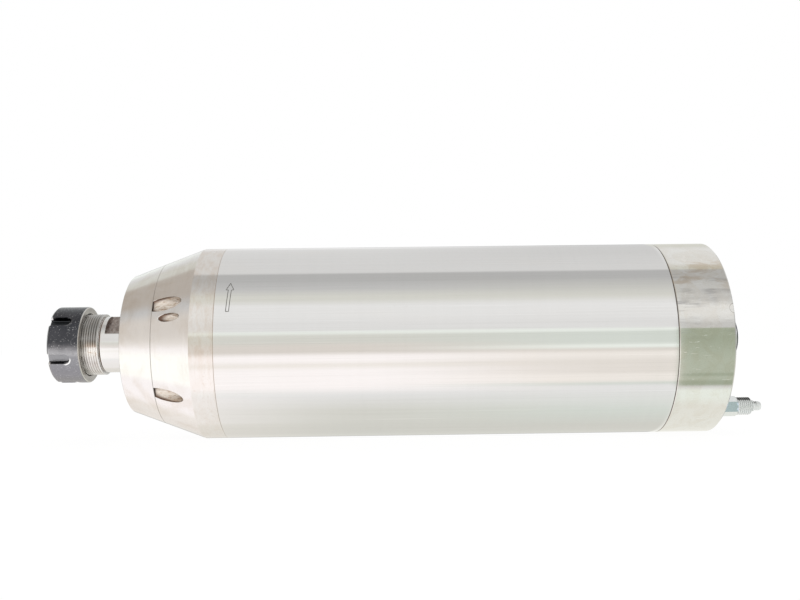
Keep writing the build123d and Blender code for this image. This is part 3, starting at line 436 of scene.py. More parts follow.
# %% Nose steel
def nose_steel():
    material, finish = new_material("nose_satin_steel")
    x, y, z, r = finish.where()
    fine = finish.rings(x, y, z, r, 3.2, 1.5, 3.0)
    cloud = finish.noise(x * 0.05, y * 0.045, z * 0.045, 4.0, 0.6, 0.4)
    speck = finish.noise(x * 0.55, y * 0.55, z * 0.55, 3.0, 0.6)
    streak = finish.noise(x * 0.06, y * 0.25, z * 0.25, 3.0, 0.6)
    broad = finish.rings(x, y, z, r, 0.7, 2.5, 4.0)
    on_land = finish.step(x, land_start - 0.3, land_start + 0.1)
    satin = finish.mix(fine * 0.6 + streak * 0.4, (0.77, 0.757, 0.745), (0.85, 0.84, 0.83))
    satin = finish.mix(finish.step(cloud, 0.42, 0.68) * 0.55, satin, (0.69, 0.64, 0.58))
    satin = finish.mix(finish.step(broad, 0.50, 0.75) * 0.25, satin, (0.88, 0.87, 0.85))
    satin = finish.mix(finish.step(speck, 0.60, 0.75) * 0.14, satin, (0.55, 0.48, 0.40))
    blotch = finish.noise(x * 0.24, y * 0.10, z * 0.10, 5.0, 0.7, 0.15)
    tan = finish.mix(finish.step(blotch, 0.36, 0.64), (0.75, 0.69, 0.63), (0.80, 0.775, 0.74))
    # painted reflection: the land's lower side is painted lighter
    tan = finish.mix(finish.fall(z, -16, -5) * 0.55, tan, (0.87, 0.855, 0.84))
    tan = finish.mix(finish.step(speck, 0.54, 0.78) * 0.24, tan, (0.60, 0.49, 0.38))
    tan = finish.mix(finish.step(broad, 0.50, 0.75) * 0.14, tan, (0.66, 0.57, 0.48))
    tone = finish.mix(on_land, satin, tan)
    rough = 0.095 + fine * 0.05 + cloud * 0.06 - on_land * 0.045
    # the joint behind the nose ring is a thin dark line
    joint = finish.band(x, ring_back - 0.45, ring_back - 0.1, ring_back + 0.1, ring_back + 0.4)
    tone = finish.mix(joint * 0.5, tone, (0.30, 0.25, 0.21))
    # what lies below the cone's surface is the wall of a screw hole: speckled, with a dark brown
    # rim that is partly old stain and partly painted shade, and painted shade at both ends
    skin = finish.maths("MINIMUM", nose_r + (x - nose_face) * cone_slope, barrel_r)
    below = skin - r
    in_hole = finish.step(below, 0.16, 0.28) * finish.step(x, ring_back - 0.2, ring_back)
    scale = finish.noise(x * 0.35, y * 1.2, z * 1.2, 3.0, 0.6)
    wall = finish.mix(finish.step(scale, 0.44, 0.70), (0.90, 0.83, 0.755), (0.54, 0.41, 0.30))
    ragged = below + (scale - 0.5) * 1.8
    rim_stain_and_shade = finish.fall(ragged, 0.6, 2.6)
    wall = finish.mix(rim_stain_and_shade * 0.95, wall, (0.12, 0.055, 0.03))
    # painted shade at the hole's far end
    far_end_shade = finish.step(x + (speck - 0.5) * 2.0, holes_end - 3.5, holes_end)
    wall = finish.mix(far_end_shade * 0.85, wall, (0.13, 0.08, 0.05))
    # painted shade where the hole runs in under the nose ring
    near_end_shade = finish.fall(x, ring_back + 0.2, ring_back + 1.0)
    wall = finish.mix(near_end_shade * 0.9, wall, (0.08, 0.055, 0.045))
    tone = finish.mix(in_hole, tone, wall)
    finish.metal(tone, rough + in_hole * 0.25, finish.bump(fine, 0.0010), 1 - in_hole * 0.5)
    return material


nose = nose_steel()
print(nose.name, len(nose.node_tree.nodes), "nodes")

# %% [markdown]
# ## Finish of the rear cap
# The cap is polished nearly to a mirror, so it shows dark smears where it was wiped and a few
# pale scratches, all lying along the barrel. Streaks are noise stretched along X; the
# scratches are a thin slice cut out of a finer noise.

# %% Polished cap steel
def cap_steel():
    material, finish = new_material("cap_polished_steel")
    x, y, z, r = finish.where()
    smear = finish.noise(x * 0.035, y * 0.33, z * 0.33, 4.0, 0.62, 0.3)
    patch = finish.noise(x * 0.05, y * 0.035, z * 0.035, 2.0)
    wiped = finish.noise(x * 0.075, y * 0.06, z * 0.06, 4.0, 0.6, 1.2)
    upper = finish.band(z, -4.0, 5.0, 36.0, 46.0)
    dark = finish.step(smear, 0.50, 0.72) * finish.step(patch, 0.30, 0.55) * upper
    tone = finish.mix(patch, (0.81, 0.795, 0.76), (0.775, 0.77, 0.735))
    tone = finish.mix(finish.step(wiped, 0.40, 0.62) * 0.5, tone, (0.72, 0.68, 0.61))
    tone = finish.mix(finish.step(wiped, 0.58, 0.72) * 0.4, tone, (0.90, 0.89, 0.86))
    tone = finish.mix(dark * 0.72, tone, (0.33, 0.32, 0.32))
    thin = finish.noise(x * 0.12, y * 1.1, z * 1.1, 2.0, 0.5, 0.8)
    scratch = finish.step(thin, 0.68, 0.72)
    tone = finish.mix(scratch * 0.5, tone, (0.95, 0.95, 0.93))
    grain = finish.noise(x * 1.2, y * 1.2, z * 1.2, 3.0, 0.6)
    tone = finish.mix(finish.step(grain, 0.52, 0.70) * 0.22, tone, (0.56, 0.55, 0.50))
    joint = finish.fall(x, shell_end + 0.18, shell_end + 0.34)
    tone = finish.mix(joint * 0.8, tone, (0.13, 0.11, 0.10))
    stain = finish.noise(x * 0.06, y * 0.14, z * 0.14, 4.0, 0.65, 0.5)
    brown = finish.step(stain, 0.46, 0.66) * finish.band(z, 26.0, 34.0, 46.0, 53.0)
    tone = finish.mix(brown * 0.6, tone, (0.56, 0.46, 0.35))
    # the rear face was faced off in the lathe: its marks are circles about the axis
    faced = finish.noise(r * 1.7, y * 0.03, z * 0.03, 3.0, 0.6)
    stained = finish.noise(x * 0.06, y * 0.055, z * 0.055, 4.0, 0.6, 0.5)
    plain = finish.mix(faced, (0.63, 0.62, 0.595), (0.83, 0.82, 0.80))
    plain = finish.mix(finish.step(stained, 0.46, 0.72) * 0.35, plain, (0.60, 0.57, 0.52))
    on_face = finish.step(x, cap_end - 0.20, cap_end - 0.05)
    tone = finish.mix(on_face, tone, plain)
    # a nick in the rear rim, outlined by a dark line
    from_nick = finish.distance(x - cap_end, z - nick_height)
    nick = finish.band(from_nick, 2.55, 2.75, 3.0, 3.25) * finish.fall(y, -50.0, -40.0)
    tone = finish.mix(nick * 0.6, tone, (0.30, 0.27, 0.24))
    cloud = finish.noise(x * 0.09, y * 0.09, z * 0.09, 3.0)
    rough = 0.035 + cloud * 0.03 + dark * 0.10 + scratch * 0.12 + joint * 0.3
    rough = rough + on_face * (0.12 + faced * 0.14)
    finish.metal(tone, rough, finish.bump(patch + on_face * faced * 0.4, 0.012))
    return material


cap = cap_steel()
print(cap.name, len(cap.node_tree.nodes), "nodes")

# %% [markdown]
# ## Black oxide of the collet nut
# The nut is blackened by a chemical bath, which leaves a thin dark skin over bright steel.
# The skin is slightly blue and takes on pale specks with use, and on the sharp rear edge it
# is rubbed through. The bare steel is mixed in by where it lies along the axis. The drum's lower
# side is painted lighter grey with a painted highlight band, a painted reflection, and the slot
# walls are painted nearly black, a painted shade.

# %% Black oxide
def black_oxide():
    material, finish = new_material("nut_black_oxide")
    x, y, z, r = finish.where()
    grain = finish.noise(x * 2.2, y * 2.2, z * 2.2, 3.0, 0.6)
    cloud = finish.noise(x * 0.12, y * 0.12, z * 0.12, 3.0)
    speck = finish.noise(x * 1.5, y * 1.5, z * 1.5, 1.0)
    tone = finish.mix(cloud, (0.052, 0.055, 0.065), (0.098, 0.101, 0.114))
    # painted reflection: the drum's lower side is painted a lighter grey, with a painted highlight
    # band (gleam) across it; darker scuffs lie on that side
    lower_side_reflection = finish.fall(z + (cloud - 0.5) * 9.0, -7.0, 3.0)
    drum_side_reflection = lower_side_reflection * finish.step(r, nut_r - 1.4, nut_r - 0.4)
    gleam = finish.band(z, -8.5, -5.5, -3.0, 0.0)
    grey = finish.mix(gleam, (0.335, 0.335, 0.36), (0.50, 0.50, 0.525))
    tone = finish.mix(drum_side_reflection * (0.55 + grain * 0.45), tone, grey)
    scuffed = finish.noise(x * 0.5, y * 0.9, z * 0.9, 3.0, 0.7)
    tone = finish.mix(finish.step(scuffed, 0.52, 0.70) * drum_side_reflection * 0.35, tone, (0.16, 0.16, 0.175))
    tone = finish.mix(finish.step(speck, 0.66, 0.73) * 0.75, tone, (0.72, 0.73, 0.75))
    # painted shade: the slot walls are painted nearly black; a slot floor on the lower side takes
    # the painted lighter grey again
    slot_wall_shade = finish.fall(r, nut_r - 1.0, nut_r - 0.2)
    tone = finish.mix(slot_wall_shade * 0.9, tone, (0.02, 0.02, 0.022))
    slot_bed = finish.fall(r, slot_floor + 0.32, slot_floor + 0.55)
    bed = finish.mix(lower_side_reflection * (0.4 + grain * 0.6), (0.052, 0.058, 0.064), (0.40, 0.40, 0.425))
    tone = finish.mix(slot_bed * 0.95, tone, bed)
    # the front chamfer is paler in patches
    at_front = finish.fall(x + (grain - 0.5) * 0.8, nut_front + 0.4, nut_front + 1.0)
    paler_front_chamfer = at_front * finish.step(r, nut_r - 2.6, nut_r - 2.0)
    tone = finish.mix(paler_front_chamfer * (0.15 + cloud * 0.9), tone, (0.74, 0.74, 0.76))
    # the rounded end of each slot has a bright edge, partly wear and partly a painted highlight
    # that is strongest on the lower side
    half = slot_every / 2
    turn_deg = finish.maths("ARCTAN2", z, y) * (180 / math.pi) - slot_first + half
    off = finish.maths("FLOORED_MODULO", turn_deg, slot_every) - half
    sideways = off * r * (math.pi / 180)
    from_end = finish.distance(x - slot_round_at, sideways)
    edge = finish.band(
        from_end, slot_half_width - 0.4, slot_half_width - 0.15, slot_half_width + 0.7,
        slot_half_width + 1.3)
    edge = edge * finish.step(x, slot_round_at - 1.5, slot_round_at + 0.8)
    edge = edge * finish.step(r, nut_r - 2.4, nut_r - 1.4) * finish.step(sideways, -1.6, 1.0)
    tone = finish.mix(edge * (0.1 + lower_side_reflection * 0.9), tone, (0.95, 0.95, 0.96))
    # a painted highlight on the slot's two corners at the front
    across = finish.maths("ABSOLUTE", sideways, 0.0)
    corner = finish.band(
        across, slot_half_width - 0.4, slot_half_width - 0.1, slot_half_width + 0.4,
        slot_half_width + 0.9)
    corner = corner * finish.fall(x, 1.6, 2.4) * finish.step(r, nut_r - 2.6, nut_r - 1.8)
    tone = finish.mix(corner * 0.8, tone, (0.90, 0.90, 0.91))
    # the rear edge is rubbed through, and the rear face and the mouth of the bore are brown
    rubbed = finish.step(x + (grain - 0.5) * 0.25, nut_back - 0.62, nut_back - 0.5)
    tone = finish.mix(rubbed, tone, (0.66, 0.64, 0.61))
    rear_face = finish.step(x, nut_back - 0.04, nut_back - 0.01)
    tone = finish.mix(rear_face * (0.4 + cloud * 0.5), tone, (0.36, 0.34, 0.32))
    mouth = finish.step(x, nut_back - 1.5, nut_back - 1.0) * finish.fall(r, 21.2, 21.5)
    tone = finish.mix(mouth * 0.8, tone, (0.58, 0.56, 0.53))
    rough = 0.20 + cloud * 0.10 + grain * 0.08 - rubbed * 0.04
    finish.metal(tone, rough, finish.bump(grain, 0.004))
    return material


oxide = black_oxide()
print(oxide.name, len(oxide.node_tree.nodes), "nodes")

# %% [markdown]
# ## The shaft's ground steel
# The neck of the shaft is ground bright, the thread keeps a brown film of dried oil under
# painted shade and a painted highlight, and the groove behind the thread is where rust starts.
# The two spanner flats were milled and left dull, dark and rough. All of these are one material,
# told apart by place.

# %% Ground shaft steel
def shaft_steel():
    material, finish = new_material("shaft_ground_steel")
    x, y, z, r = finish.where()
    fine = finish.rings(x, y, z, r, 4.0, 1.2)
    cloud = finish.noise(x * 0.2, y * 0.16, z * 0.16, 4.0, 0.65, 0.5)
    on_thread = finish.fall(x, thread_end - 0.9, thread_end - 0.3)
    root = finish.fall(r, thread_r - 0.8, thread_r - 0.4)
    in_relief = finish.band(
        x, thread_end + 0.1, thread_end + 0.25, relief_end - 0.15, relief_end)
    in_relief = in_relief * finish.fall(r, neck_r - 0.4, neck_r - 0.1)
    tone = finish.mix(fine * 0.6 + cloud * 0.4, (0.75, 0.745, 0.735), (0.84, 0.835, 0.825))
    # the thread: brown clouds of dried oil and a brown waist, with painted shade over its upper
    # side and its bottom and a painted highlight just under the waist
    oil_film_and_light = finish.mix(finish.step(cloud, 0.49, 0.72), (0.91, 0.895, 0.875), (0.58, 0.47, 0.38))
    # the roots are darker, partly oil and partly painted shade
    oil_film_and_light = finish.mix(root * 0.3, oil_film_and_light, (0.45, 0.41, 0.38))
    # painted shade below z -9, which leaves the painted highlight between it and the waist
    bright = finish.step(z, -9.0, -5.5)
    oil_film_and_light = finish.mix((1 - bright) * 0.75, oil_film_and_light, (0.66, 0.64, 0.625))
    waist = finish.band(z, -2.6, -0.8, 2.0, 4.0)
    oil_film_and_light = finish.mix(waist * 0.6, oil_film_and_light, (0.50, 0.37, 0.28))
    # painted shade over the thread's upper side, deeper in the roots
    shaded = finish.step(z + (cloud - 0.5) * 5.0, -2.6, 3.0)
    oil_film_and_light = finish.mix(shaded * (0.80 + root * 0.2), oil_film_and_light, (0.26, 0.255, 0.245))
    # painted shade on the thread next to the nut
    shade_by_nut = finish.fall(x + (cloud - 0.5) * 3.0, nut_back + 1.5, nut_back + 5.0)
    oil_film_and_light = finish.mix(shade_by_nut * 0.55, oil_film_and_light, (0.54, 0.52, 0.50))
    dirt = finish.noise(x * 0.9, y * 0.5, z * 0.5, 4.0, 0.7)
    oil_film_and_light = finish.mix(finish.step(dirt, 0.55, 0.72) * 0.45, oil_film_and_light, (0.36, 0.25, 0.17))
    tone = finish.mix(on_thread * 0.92, tone, oil_film_and_light)
    rust = finish.mix(cloud, (0.09, 0.045, 0.028), (0.27, 0.15, 0.085))
    tone = finish.mix(in_relief, tone, rust)
    # the two spanner flats
    milled = finish.band(x, flat_start - 0.1, flat_start, flat_end, flat_end + 0.1)
    milled = milled * finish.band(
        r, flat_half - 0.1, flat_half - 0.01, neck_r - 0.2, neck_r - 0.08)
    grain = finish.noise(x * 0.9, y * 0.35, z * 0.35, 4.0, 0.6)
    dull = finish.mix(finish.step(grain, 0.3, 0.7), (0.19, 0.155, 0.14), (0.46, 0.41, 0.38))
    dull = finish.mix(finish.step(dirt, 0.50, 0.68) * 0.7, dull, (0.26, 0.15, 0.105))
    tone = finish.mix(milled, tone, dull)
    # the shoulder that closes the thread scatters light, so it looks pale beside the rust
    shoulder = finish.band(
        x, thread_end - 0.04, thread_end, thread_end + 0.04, thread_end + 0.1)
    shoulder = shoulder * finish.step(r, neck_r - 0.35, neck_r - 0.2)
    rough = 0.10 + fine * 0.06 + on_thread * (0.06 + shade_by_nut * 0.16)
    rough = rough + milled * 0.26 + in_relief * 0.3
    finish.metal(tone, rough, finish.bump(fine, 0.0008), 1 - shoulder * 0.8)
    return material


shaft = shaft_steel()
print(shaft.name, len(shaft.node_tree.nodes), "nodes")

# %% [markdown]
# ## Plated fittings and connector
# Nickel plate is bright and a little green beside steel. The upper side of each fitting's threaded
# body carries a painted dark reflection, nearly black, and the lip of the connector's sleeve is
# dark. The dark reflection is placed by height above the fitting's own axis, and the lip by its
# distance from the middle of the cap.

# %% Nickel plate
fitting_height = fitting_at[0][1]
hex_to, hose_thread_to = cap_end + 11.3, cap_end + 20.0


def nickel_plate():
    material, finish = new_material("nickel_plate")
    x, y, z, r = finish.where()
    grain = finish.noise(x * 1.1, y * 1.1, z * 1.1, 3.0, 0.6)
    cloud = finish.noise(x * 0.25, y * 0.25, z * 0.25, 3.0)
    tone = finish.mix(grain * 0.5 + cloud * 0.5, (0.72, 0.745, 0.74), (0.86, 0.88, 0.87))
    tone = finish.mix(finish.step(cloud, 0.55, 0.75) * 0.3, tone, (0.55, 0.60, 0.57))
    on_fitting = finish.step(r, 30.0, 32.0)
    past_hexagon = finish.step(x, hex_to - 0.3, hex_to + 0.1)
    # the hexagon's two upright flats are given a painted bluish reflection
    blue_reflection_flats = finish.fall(finish.maths("ABSOLUTE", z - fitting_height, 0.0), 3.05, 3.25)
    tone = finish.mix(on_fitting * (1 - past_hexagon) * blue_reflection_flats, tone, (0.72, 0.81, 0.95))
    # a painted dark reflection along the top of the threaded body, and a dark spot high on the
    # nozzle
    up = z - fitting_height + (cloud - 0.5) * 0.8
    on_body = finish.fall(x, hose_thread_to - 0.4, hose_thread_to + 0.2)
    dark_top_reflection = finish.step(up, 3.6, 4.4) * on_body * on_fitting * past_hexagon
    tone = finish.mix(dark_top_reflection * 0.9, tone, (0.07, 0.068, 0.066))
    on_nozzle = finish.band(
        x, hose_thread_to + 1.6, hose_thread_to + 2.4, hose_thread_to + 3.2, hose_thread_to + 4.2)
    spot = finish.step(up, 1.6, 2.3) * on_nozzle * on_fitting
    tone = finish.mix(spot * 0.8, tone, (0.12, 0.11, 0.10))
    lip = finish.step(x, cap_end + 19.1, cap_end + 19.3) * finish.fall(r, 20.0, 22.0)
    tone = finish.mix(lip * 0.95, tone, (0.035, 0.037, 0.045))
    rough = 0.12 + grain * 0.08 + dark_top_reflection * 0.12 + past_hexagon * on_fitting * 0.12
    finish.metal(tone, rough, finish.bump(grain, 0.002), 1 - past_hexagon * on_fitting * 0.6)
    return material


nickel = nickel_plate()
print(nickel.name, len(nickel.node_tree.nodes), "nodes")

# %% [markdown]
# ## Finishes of the small outer pieces and of the inner works
# The plated fittings, the connector's resin, the screws and everything inside the motor need
# a finish too, since the part may be taken apart. Each is one call: two tones that clouds
# move between, a grain at its own scale, and how deep that grain is.

# %% One recipe for the plain finishes
def plain_finish(
        name, dark, light, roughness, spread, grain_size, depth, metallic=1.0, turned=False,
        detail=3.0):
    """Two tones that clouds move between, over a grain of grain_size mm and depth mm."""
    material, finish = new_material(name)
    x, y, z, r = finish.where()
    rate = 1 / grain_size
    if turned:
        grain = finish.rings(x, y, z, r, rate, 1.5, detail)
    else:
        grain = finish.noise(x * rate, y * rate, z * rate, detail, 0.6)
    cloud = finish.noise(x * 0.07, y * 0.07, z * 0.07, 3.0)
    tone = finish.mix(grain * 0.6 + cloud * 0.4, dark, light)
    finish.metal(tone, roughness + grain * spread, finish.bump(grain, depth), metallic)
    return material


finishes = {
    "nickel": nickel,
    "washer_alloy": plain_finish(
        "washer_alloy", (0.66, 0.66, 0.65), (0.80, 0.80, 0.79), 0.30, 0.15, 0.5, 0.004),
    "screw_steel": plain_finish(
        "screw_steel", (0.40, 0.385, 0.36), (0.66, 0.645, 0.62), 0.26, 0.16, 0.8, 0.004),
    "dark_resin": plain_finish(
        "connector_resin", (0.022, 0.022, 0.025), (0.050, 0.050, 0.055), 0.42, 0.2, 0.35, 0.01,
        0.0),
    "pin_brass": plain_finish(
        "pin_gold", (0.70, 0.50, 0.22), (0.86, 0.68, 0.36), 0.16, 0.1, 0.6, 0.002),
    "rubber": plain_finish(
        "seal_rubber", (0.016, 0.016, 0.017), (0.040, 0.039, 0.038), 0.60, 0.2, 0.25, 0.012,
        0.0),
    "bearing_steel": plain_finish(
        "bearing_steel", (0.70, 0.70, 0.71), (0.80, 0.80, 0.81), 0.06, 0.06, 0.3, 0.0006,
        turned=True),
    "cage_resin": plain_finish(
        "cage_phenolic", (0.30, 0.17, 0.06), (0.50, 0.31, 0.14), 0.45, 0.2, 0.45, 0.02, 0.0),
    "alloy": plain_finish(
        "turned_alloy", (0.70, 0.71, 0.72), (0.82, 0.83, 0.84), 0.24, 0.12, 0.3, 0.004,
        turned=True),
    "lamination": plain_finish(
        "stacked_laminations", (0.16, 0.17, 0.18), (0.36, 0.37, 0.38), 0.38, 0.18, 0.5, 0.05,
        turned=True, detail=0.0),
    "cage_copper": plain_finish(
        "rotor_copper", (0.56, 0.30, 0.18), (0.80, 0.50, 0.34), 0.25, 0.15, 0.4, 0.003,
        turned=True),
    "winding_copper": plain_finish(
        "varnished_winding", (0.30, 0.10, 0.035), (0.62, 0.28, 0.11), 0.28, 0.2, 0.8, 0.12, 0.6),
    "brass_ring": plain_finish(
        "balance_brass", (0.66, 0.48, 0.22), (0.82, 0.66, 0.36), 0.20, 0.12, 0.3, 0.003,
        turned=True),
    "lead_sleeve": plain_finish(
        "lead_silicone", (0.40, 0.05, 0.03), (0.56, 0.10, 0.06), 0.50, 0.2, 0.3, 0.006, 0.0),
    "ground_steel": plain_finish(
        "ground_steel", (0.64, 0.635, 0.625), (0.76, 0.755, 0.745), 0.16, 0.10, 0.25, 0.0015,
        turned=True),
    "brushed_shell": barrel,
    "satin_steel": nose,
    "polished_steel": cap,
    "black_oxide": oxide,
}
print("finishes:", len(finishes))

# %% [markdown]
# ## Dressing the packed nodes
# The record says which finish each node takes. The node's own mesh and place are left alone,
# and only the material in its slot is changed.

# %% Give each node its finish
slot_of = {part["node"]: part["material_slot"] for part in frame["record"]["subparts"]}
for node_name, node in frame["nodes"].items():
    node.material_slots[0].material = finishes[slot_of[node_name]]
print("dressed:", len(slot_of))

# %% [markdown]
# ## Turning pieces in mesh code
# A lathe makes a part from its half outline, and so does `turn_solid`: each corner of the
# outline becomes a ring of points. Corners may be rounded, since real edges catch the light
# because they are never quite sharp. A `shape` function may then change the radius from place
# to place, and that one idea cuts threads, slots, flats and hexagons without any boolean.


# %% Outline and lathe
on_axis = 1e-4  # a corner nearer to the axis than this becomes one point


def outline(*corners, steps=4):
    """Corners are (x, radius) or (x, radius, rounding), in mm."""
    smooth = []
    for k, corner in enumerate(corners):
        spot = Vector(corner[:2])
        size = corner[2] if len(corner) > 2 else 0
        if not size:
            smooth.append(spot)
            continue
        start = spot + (Vector(corners[k - 1][:2]) - spot).normalized() * size
        end = spot + (Vector(corners[(k + 1) % len(corners)][:2]) - spot).normalized() * size
        for j in range(steps + 1):
            t = j / steps
            smooth.append(start * (1 - t) ** 2 + spot * 2 * t * (1 - t) + end * t * t)
    return [tuple(spot) for spot in smooth]


def run(x0, x1, radius, step):
    """Even rings along a straight cylinder, ends included."""
    count = max(1, round(abs(x1 - x0) / step))
    return [(x0 + (x1 - x0) * k / count, radius) for k in range(count + 1)]


def turn_solid(shell, corners, segments, shape=None, centre=(0.0, 0.0)):
    """Adds a closed ring of outline corners, turned about X, to the mesh."""
    rings = []
    for x, radius in corners:
        ring = []
        for k in range(segments if radius > on_axis else 1):
            a = 2 * math.pi * k / segments
            r = shape(x, a, radius) if shape else radius
            ring.append(shell.verts.new(
                (x * mm, (centre[0] + r * math.cos(a)) * mm, (centre[1] + r * math.sin(a)) * mm)))
        rings.append(ring)
    for first, second in zip(rings, rings[1:] + rings[:1]):
        if len(first) == len(second) == 1:
            continue
        for k in range(segments):
            n = (k + 1) % segments
            corners_of_face = (first[k % len(first)], second[k % len(second)],
                               second[n % len(second)], first[n % len(first)])
            shell.faces.new(tuple(dict.fromkeys(corners_of_face)))
    bmesh.ops.recalc_face_normals(shell, faces=shell.faces)


def stand_for(name, shell, material, node, body, sharp_over=180):
    """Turns the mesh into the piece shown in place of a packed node."""
    mesh = bpy.data.meshes.new(name)
    shell.to_mesh(mesh)
    shell.free()
    mesh.materials.append(material)
    mesh.shade_smooth()
    mesh.set_sharp_from_angle(angle=degrees(sharp_over))
    piece = bpy.data.objects.new(name, mesh)
    bpy.context.scene.collection.objects.link(piece)
    even = piece.modifiers.new("even_normals", "WEIGHTED_NORMAL")
    even.keep_sharp = True
    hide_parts(node)
    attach(piece, body)
    print(name, "faces:", len(mesh.polygons))


# %% [markdown]
# ## The collet nut
# A slotted nut is a short drum with six keyways milled in from its front face, each ending in
# the half circle of the cutter. The drum's radius drops to the slot floor wherever a point
# lies inside the slot's outline, and the drop is spread over a fraction of a millimetre, so
# the slot gets the small rounded edge that a deburred slot has.

# %% Slots as a change of radius
slot_edge_from, slot_edge_width = 0.16, 0.34


def nearest_turn(a, first, step):
    """Angle from the closest of several features spaced evenly round the axis."""
    return (math.degrees(a) - first + step / 2) % step - step / 2


def soft(value):
    value = min(1.0, max(0.0, value))
    return value * value * (3 - 2 * value)


def nut_shape(x, a, radius):
    off = math.radians(nearest_turn(a, slot_first, slot_every))
    floor = slot_floor / math.cos(off)
    if radius <= floor:
        return radius
    sideways = radius * math.sin(off)
    outside = math.hypot(max(0.0, x - slot_round_at), sideways) - slot_half_width
    return floor + (radius - floor) * soft((outside + slot_edge_from) / slot_edge_width)


# %% Model the nut
nut_mesh = bmesh.new()
turn_solid(nut_mesh, outline(
    # the cone that presses the collet, the snap groove and the threaded bore
    (nut_front, 13.35, 0.2), (4.5, 15.66), (4.5, 15.90), (6.05, 15.90), (6.05, 14.2),
    (8.75, 14.2), (8.75, 20.06), (nut_back - 1.0, 20.06), (nut_back, 21.06, 0.2),
    # the outside, from the rear face to the front chamfer
    (nut_back, nut_r - 0.6, 0.25), (nut_back - 0.6, nut_r, 0.25), *run(19.9, 2.6, nut_r, 0.22),
    (1.9, nut_r, 0.5), (nut_front, nut_r - 1.4, 0.4)), segments=720, shape=nut_shape)
stand_for("slotted_collet_nut", nut_mesh, oxide, "collet_nut", "nut")

# %% [markdown]
# ## The spindle shaft
# The nose of the shaft carries the nut's fine thread. A screw thread is a groove whose place
# along the axis moves by one pitch in each turn, so the radius depends on x minus the part of
# a turn already made. Two spanner flats behind it are where the radius would pass a plane.

# %% Thread and flats
thread_pitch, thread_depth = 1.5, 0.6
groove_half, root_flat = 0.25, 1.2  # as parts of the pitch, and of the groove's depth
flat_run_out = 0.12


def groove(x, a, pitch):
    """0 on the crest of a thread and 1 at its root."""
    part = (x / pitch - a / (2 * math.pi)) % 1.0
    return min(1.0, max(0.0, (1 - abs(part - 0.5) / groove_half)) * root_flat)


def shaft_shape(x, a, radius):
    if radius > thread_r - 0.1 and x < thread_end + 0.01:
        fade = soft((x - 10.9) / 0.8) * soft((thread_end - x) / 0.5)
        return radius - thread_depth * groove(x, a, thread_pitch) * fade
    if abs(radius - neck_r) < 0.01 and flat_start <= x <= flat_end:
        off = math.radians(nearest_turn(a, flat_angle, 180))
        depth = soft((x - flat_start) / flat_run_out) * soft((flat_end - x) / flat_run_out)
        return min(radius, radius + (flat_half / max(0.2, math.cos(off)) - radius) * depth)
    return radius


# %% Model the shaft
shaft_mesh = bmesh.new()
turn_solid(shaft_mesh, outline(
    # the threaded nose and the relief groove
    (10.0, 16.46, 0.15), (10.0, 19.0, 0.15), (11.0, thread_r), *run(11.1, 31.5, thread_r, 0.125),
    (thread_end, thread_r), (thread_end, 18.0), (relief_end, 18.0), (relief_end, neck_r, 0.12),
    # the neck, with close rings where the flats begin and end
    *run(33.2, 35.2, neck_r, 1.0), *((x, neck_r) for x in (flat_start, 35.34, 35.38, 35.42)),
    *run(35.6, 48.1, neck_r, 1.0), *((x, neck_r) for x in (48.18, 48.22, 48.26, flat_end)),
    *run(49.0, 67.9, neck_r, 3.0), (68.0, neck_r),
    # the steps that the bearings, the rotor and the lock nuts sit on
    (68.0, 21.0, 0.2), (78.0, 21.0), (78.0, 17.5), (121.0, 17.5), (121.0, 16.0), (325.0, 16.0),
    (325.0, 14.2), (359.0, 14.2), (359.0, 12.5), (397.0, 12.5), (398.0, 11.5), (398.0, 0.0),
    # the bore behind the collet and the collet's taper
    (58.0, 0.0), (58.0, 11.0), (43.0, 11.0), (43.0, 11.82)),
    segments=360, shape=shaft_shape)
stand_for(
    "threaded_spindle_shaft", shaft_mesh, shaft, "spindle_shaft", "shaft", sharp_over=38)

# %% [markdown]
# ## The water fittings
# Each hose fitting is one turned and milled bar: a hexagon for the spanner, an outside thread
# for the hose nut, and a barbed nozzle. A hexagon is a circle cut back to six planes, so
# chamfered corners appear by themselves where the turned outline is the smaller of the two.

# %% Hexagon and hose thread
hex_from, hex_half, hex_corner, hex_every = cap_end + 1.2, 5.5, 6.35, 60
hose_thread_r, hose_thread_pitch, hose_thread_depth = 5.55, 1.27, 0.68


def fitting_shape(x, a, radius):
    if radius <= hex_half:
        return radius
    if hex_from <= x <= hex_to:
        return min(radius, hex_half / math.cos(math.radians(nearest_turn(a, 0, hex_every))))
    if hex_to < x < hose_thread_to:
        fade = soft((x - hex_to - 0.1) / 0.3) * soft((hose_thread_to - 0.4 - x) / 0.3)
        return radius - hose_thread_depth * groove(x, a, hose_thread_pitch) * fade
    return radius


# %% Model both fittings
def model_fitting(name, node, centre):
    e, end, bore = cap_end, hose_thread_to, 1.75
    shell = bmesh.new()
    turn_solid(shell, outline(
        # the end screwed into the cap, and the hexagon
        (e - 9.0, bore), (e - 9.0, 4.0), (hex_from, 4.0), (hex_from, 5.75),
        (hex_from + 0.3, hex_corner), *run(e + 3.0, e + 10.0, hex_corner, 1.0),
        (hex_to - 0.6, hex_corner), (hex_to, 5.49), (hex_to + 0.02, 5.45),
        # the hose thread
        *run(hex_to + 0.1, end - 0.65, hose_thread_r, 0.105), (end - 0.6, hose_thread_r),
        (end, 4.95, 0.15), (end, 2.95),
        # the nozzle with its two barbs
        (end + 1.2, 2.95), (end + 1.2, 3.55, 0.25), (end + 2.1, 3.55, 0.4),
        (end + 3.7, 2.35, 0.4), (end + 4.0, 2.95, 0.12), (end + 5.4, 2.95, 0.5),
        (end + 6.8, 2.35, 0.25), (end + 6.8, bore, 0.15)),
        segments=144, shape=fitting_shape, centre=centre)
    stand_for(name, shell, nickel, node, "stator", sharp_over=34)


model_fitting("hose_fitting_inlet", "water_inlet_fitting", fitting_at[0])
model_fitting("hose_fitting_outlet", "water_outlet_fitting", fitting_at[1])

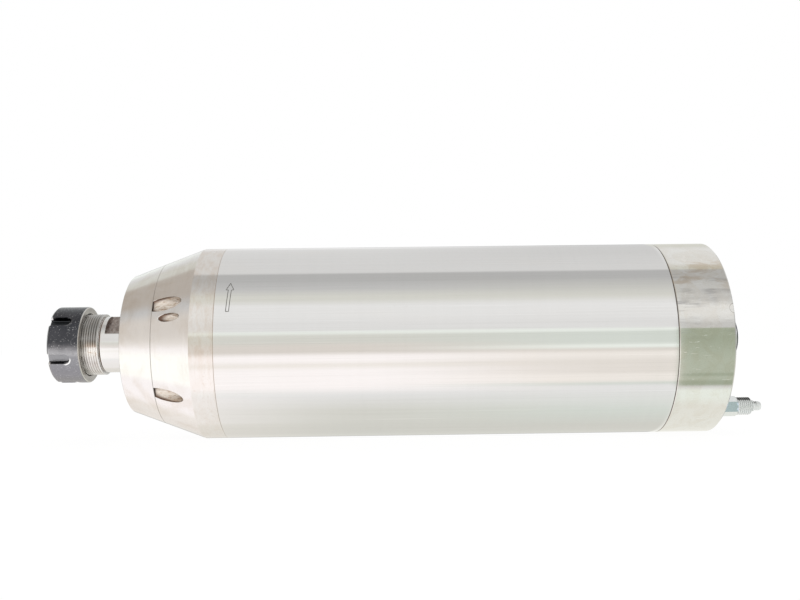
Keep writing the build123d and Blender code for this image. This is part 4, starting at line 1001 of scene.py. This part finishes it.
# %% [markdown]
# ## The turning arrow
# A spindle must not run backwards, so an arrow etched into the barrel shows which way it
# turns. It is only an outline, some half a millimetre wide. The line is laid as a thin skin
# just above the tube, following its curve, with its own dark etched finish.

# %% Etched line finish
def etched_line():
    material, finish = new_material("arrow_etched_line")
    x, y, z, _ = finish.where()
    wear = finish.noise(x * 1.6, y * 1.6, z * 1.6, 3.0, 0.6)
    tone = finish.mix(finish.step(wear, 0.35, 0.75), (0.13, 0.125, 0.12), (0.33, 0.32, 0.30))
    finish.metal(tone, 0.42 + wear * 0.15, finish.bump(wear, 0.01), 0.55)
    return material


# %% Lay the arrow round the barrel
def lay_strip(shell, start, end, width, radius):
    """A strip between two places given as (x, degrees above the front)."""
    steps = max(1, int(abs(end[1] - start[1])))
    along = Vector((end[0] - start[0], (end[1] - start[1]) * math.pi / 180 * radius))
    across = Vector((-along.y, along.x)).normalized() * width / 2
    rows = []
    for k in range(steps + 1):
        t = k / steps
        x = start[0] + (end[0] - start[0]) * t
        up = math.radians(start[1] + (end[1] - start[1]) * t)
        row = []
        for side in (-1, 1):
            a = up + side * across.y / radius
            row.append(shell.verts.new(
                ((x + side * across.x) * mm,
                 -radius * math.cos(a) * mm, radius * math.sin(a) * mm)))
        rows.append(row)
    for (a, b), (c, d) in zip(rows, rows[1:]):
        shell.faces.new((a, b, d, c))


line_width, line_lift = 0.42, 0.02
arrow_corners = [
    (122.7, 35.6), (125.0, 31.0), (123.55, 31.0), (122.8, 17.6), (120.95, 17.6), (121.7, 31.0),
    (120.3, 31.0)]
arrow_mesh = bmesh.new()
for first, second in zip(arrow_corners, arrow_corners[1:] + arrow_corners[:1]):
    lay_strip(arrow_mesh, first, second, line_width, barrel_r + line_lift)
bmesh.ops.recalc_face_normals(arrow_mesh, faces=arrow_mesh.faces)
arrow_data = bpy.data.meshes.new("turning_arrow")
arrow_mesh.to_mesh(arrow_data)
arrow_mesh.free()
arrow_data.materials.append(etched_line())
arrow = bpy.data.objects.new("turning_arrow", arrow_data)
bpy.context.scene.collection.objects.link(arrow)
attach(arrow, "stator")
print("arrow faces:", len(arrow_data.polygons))
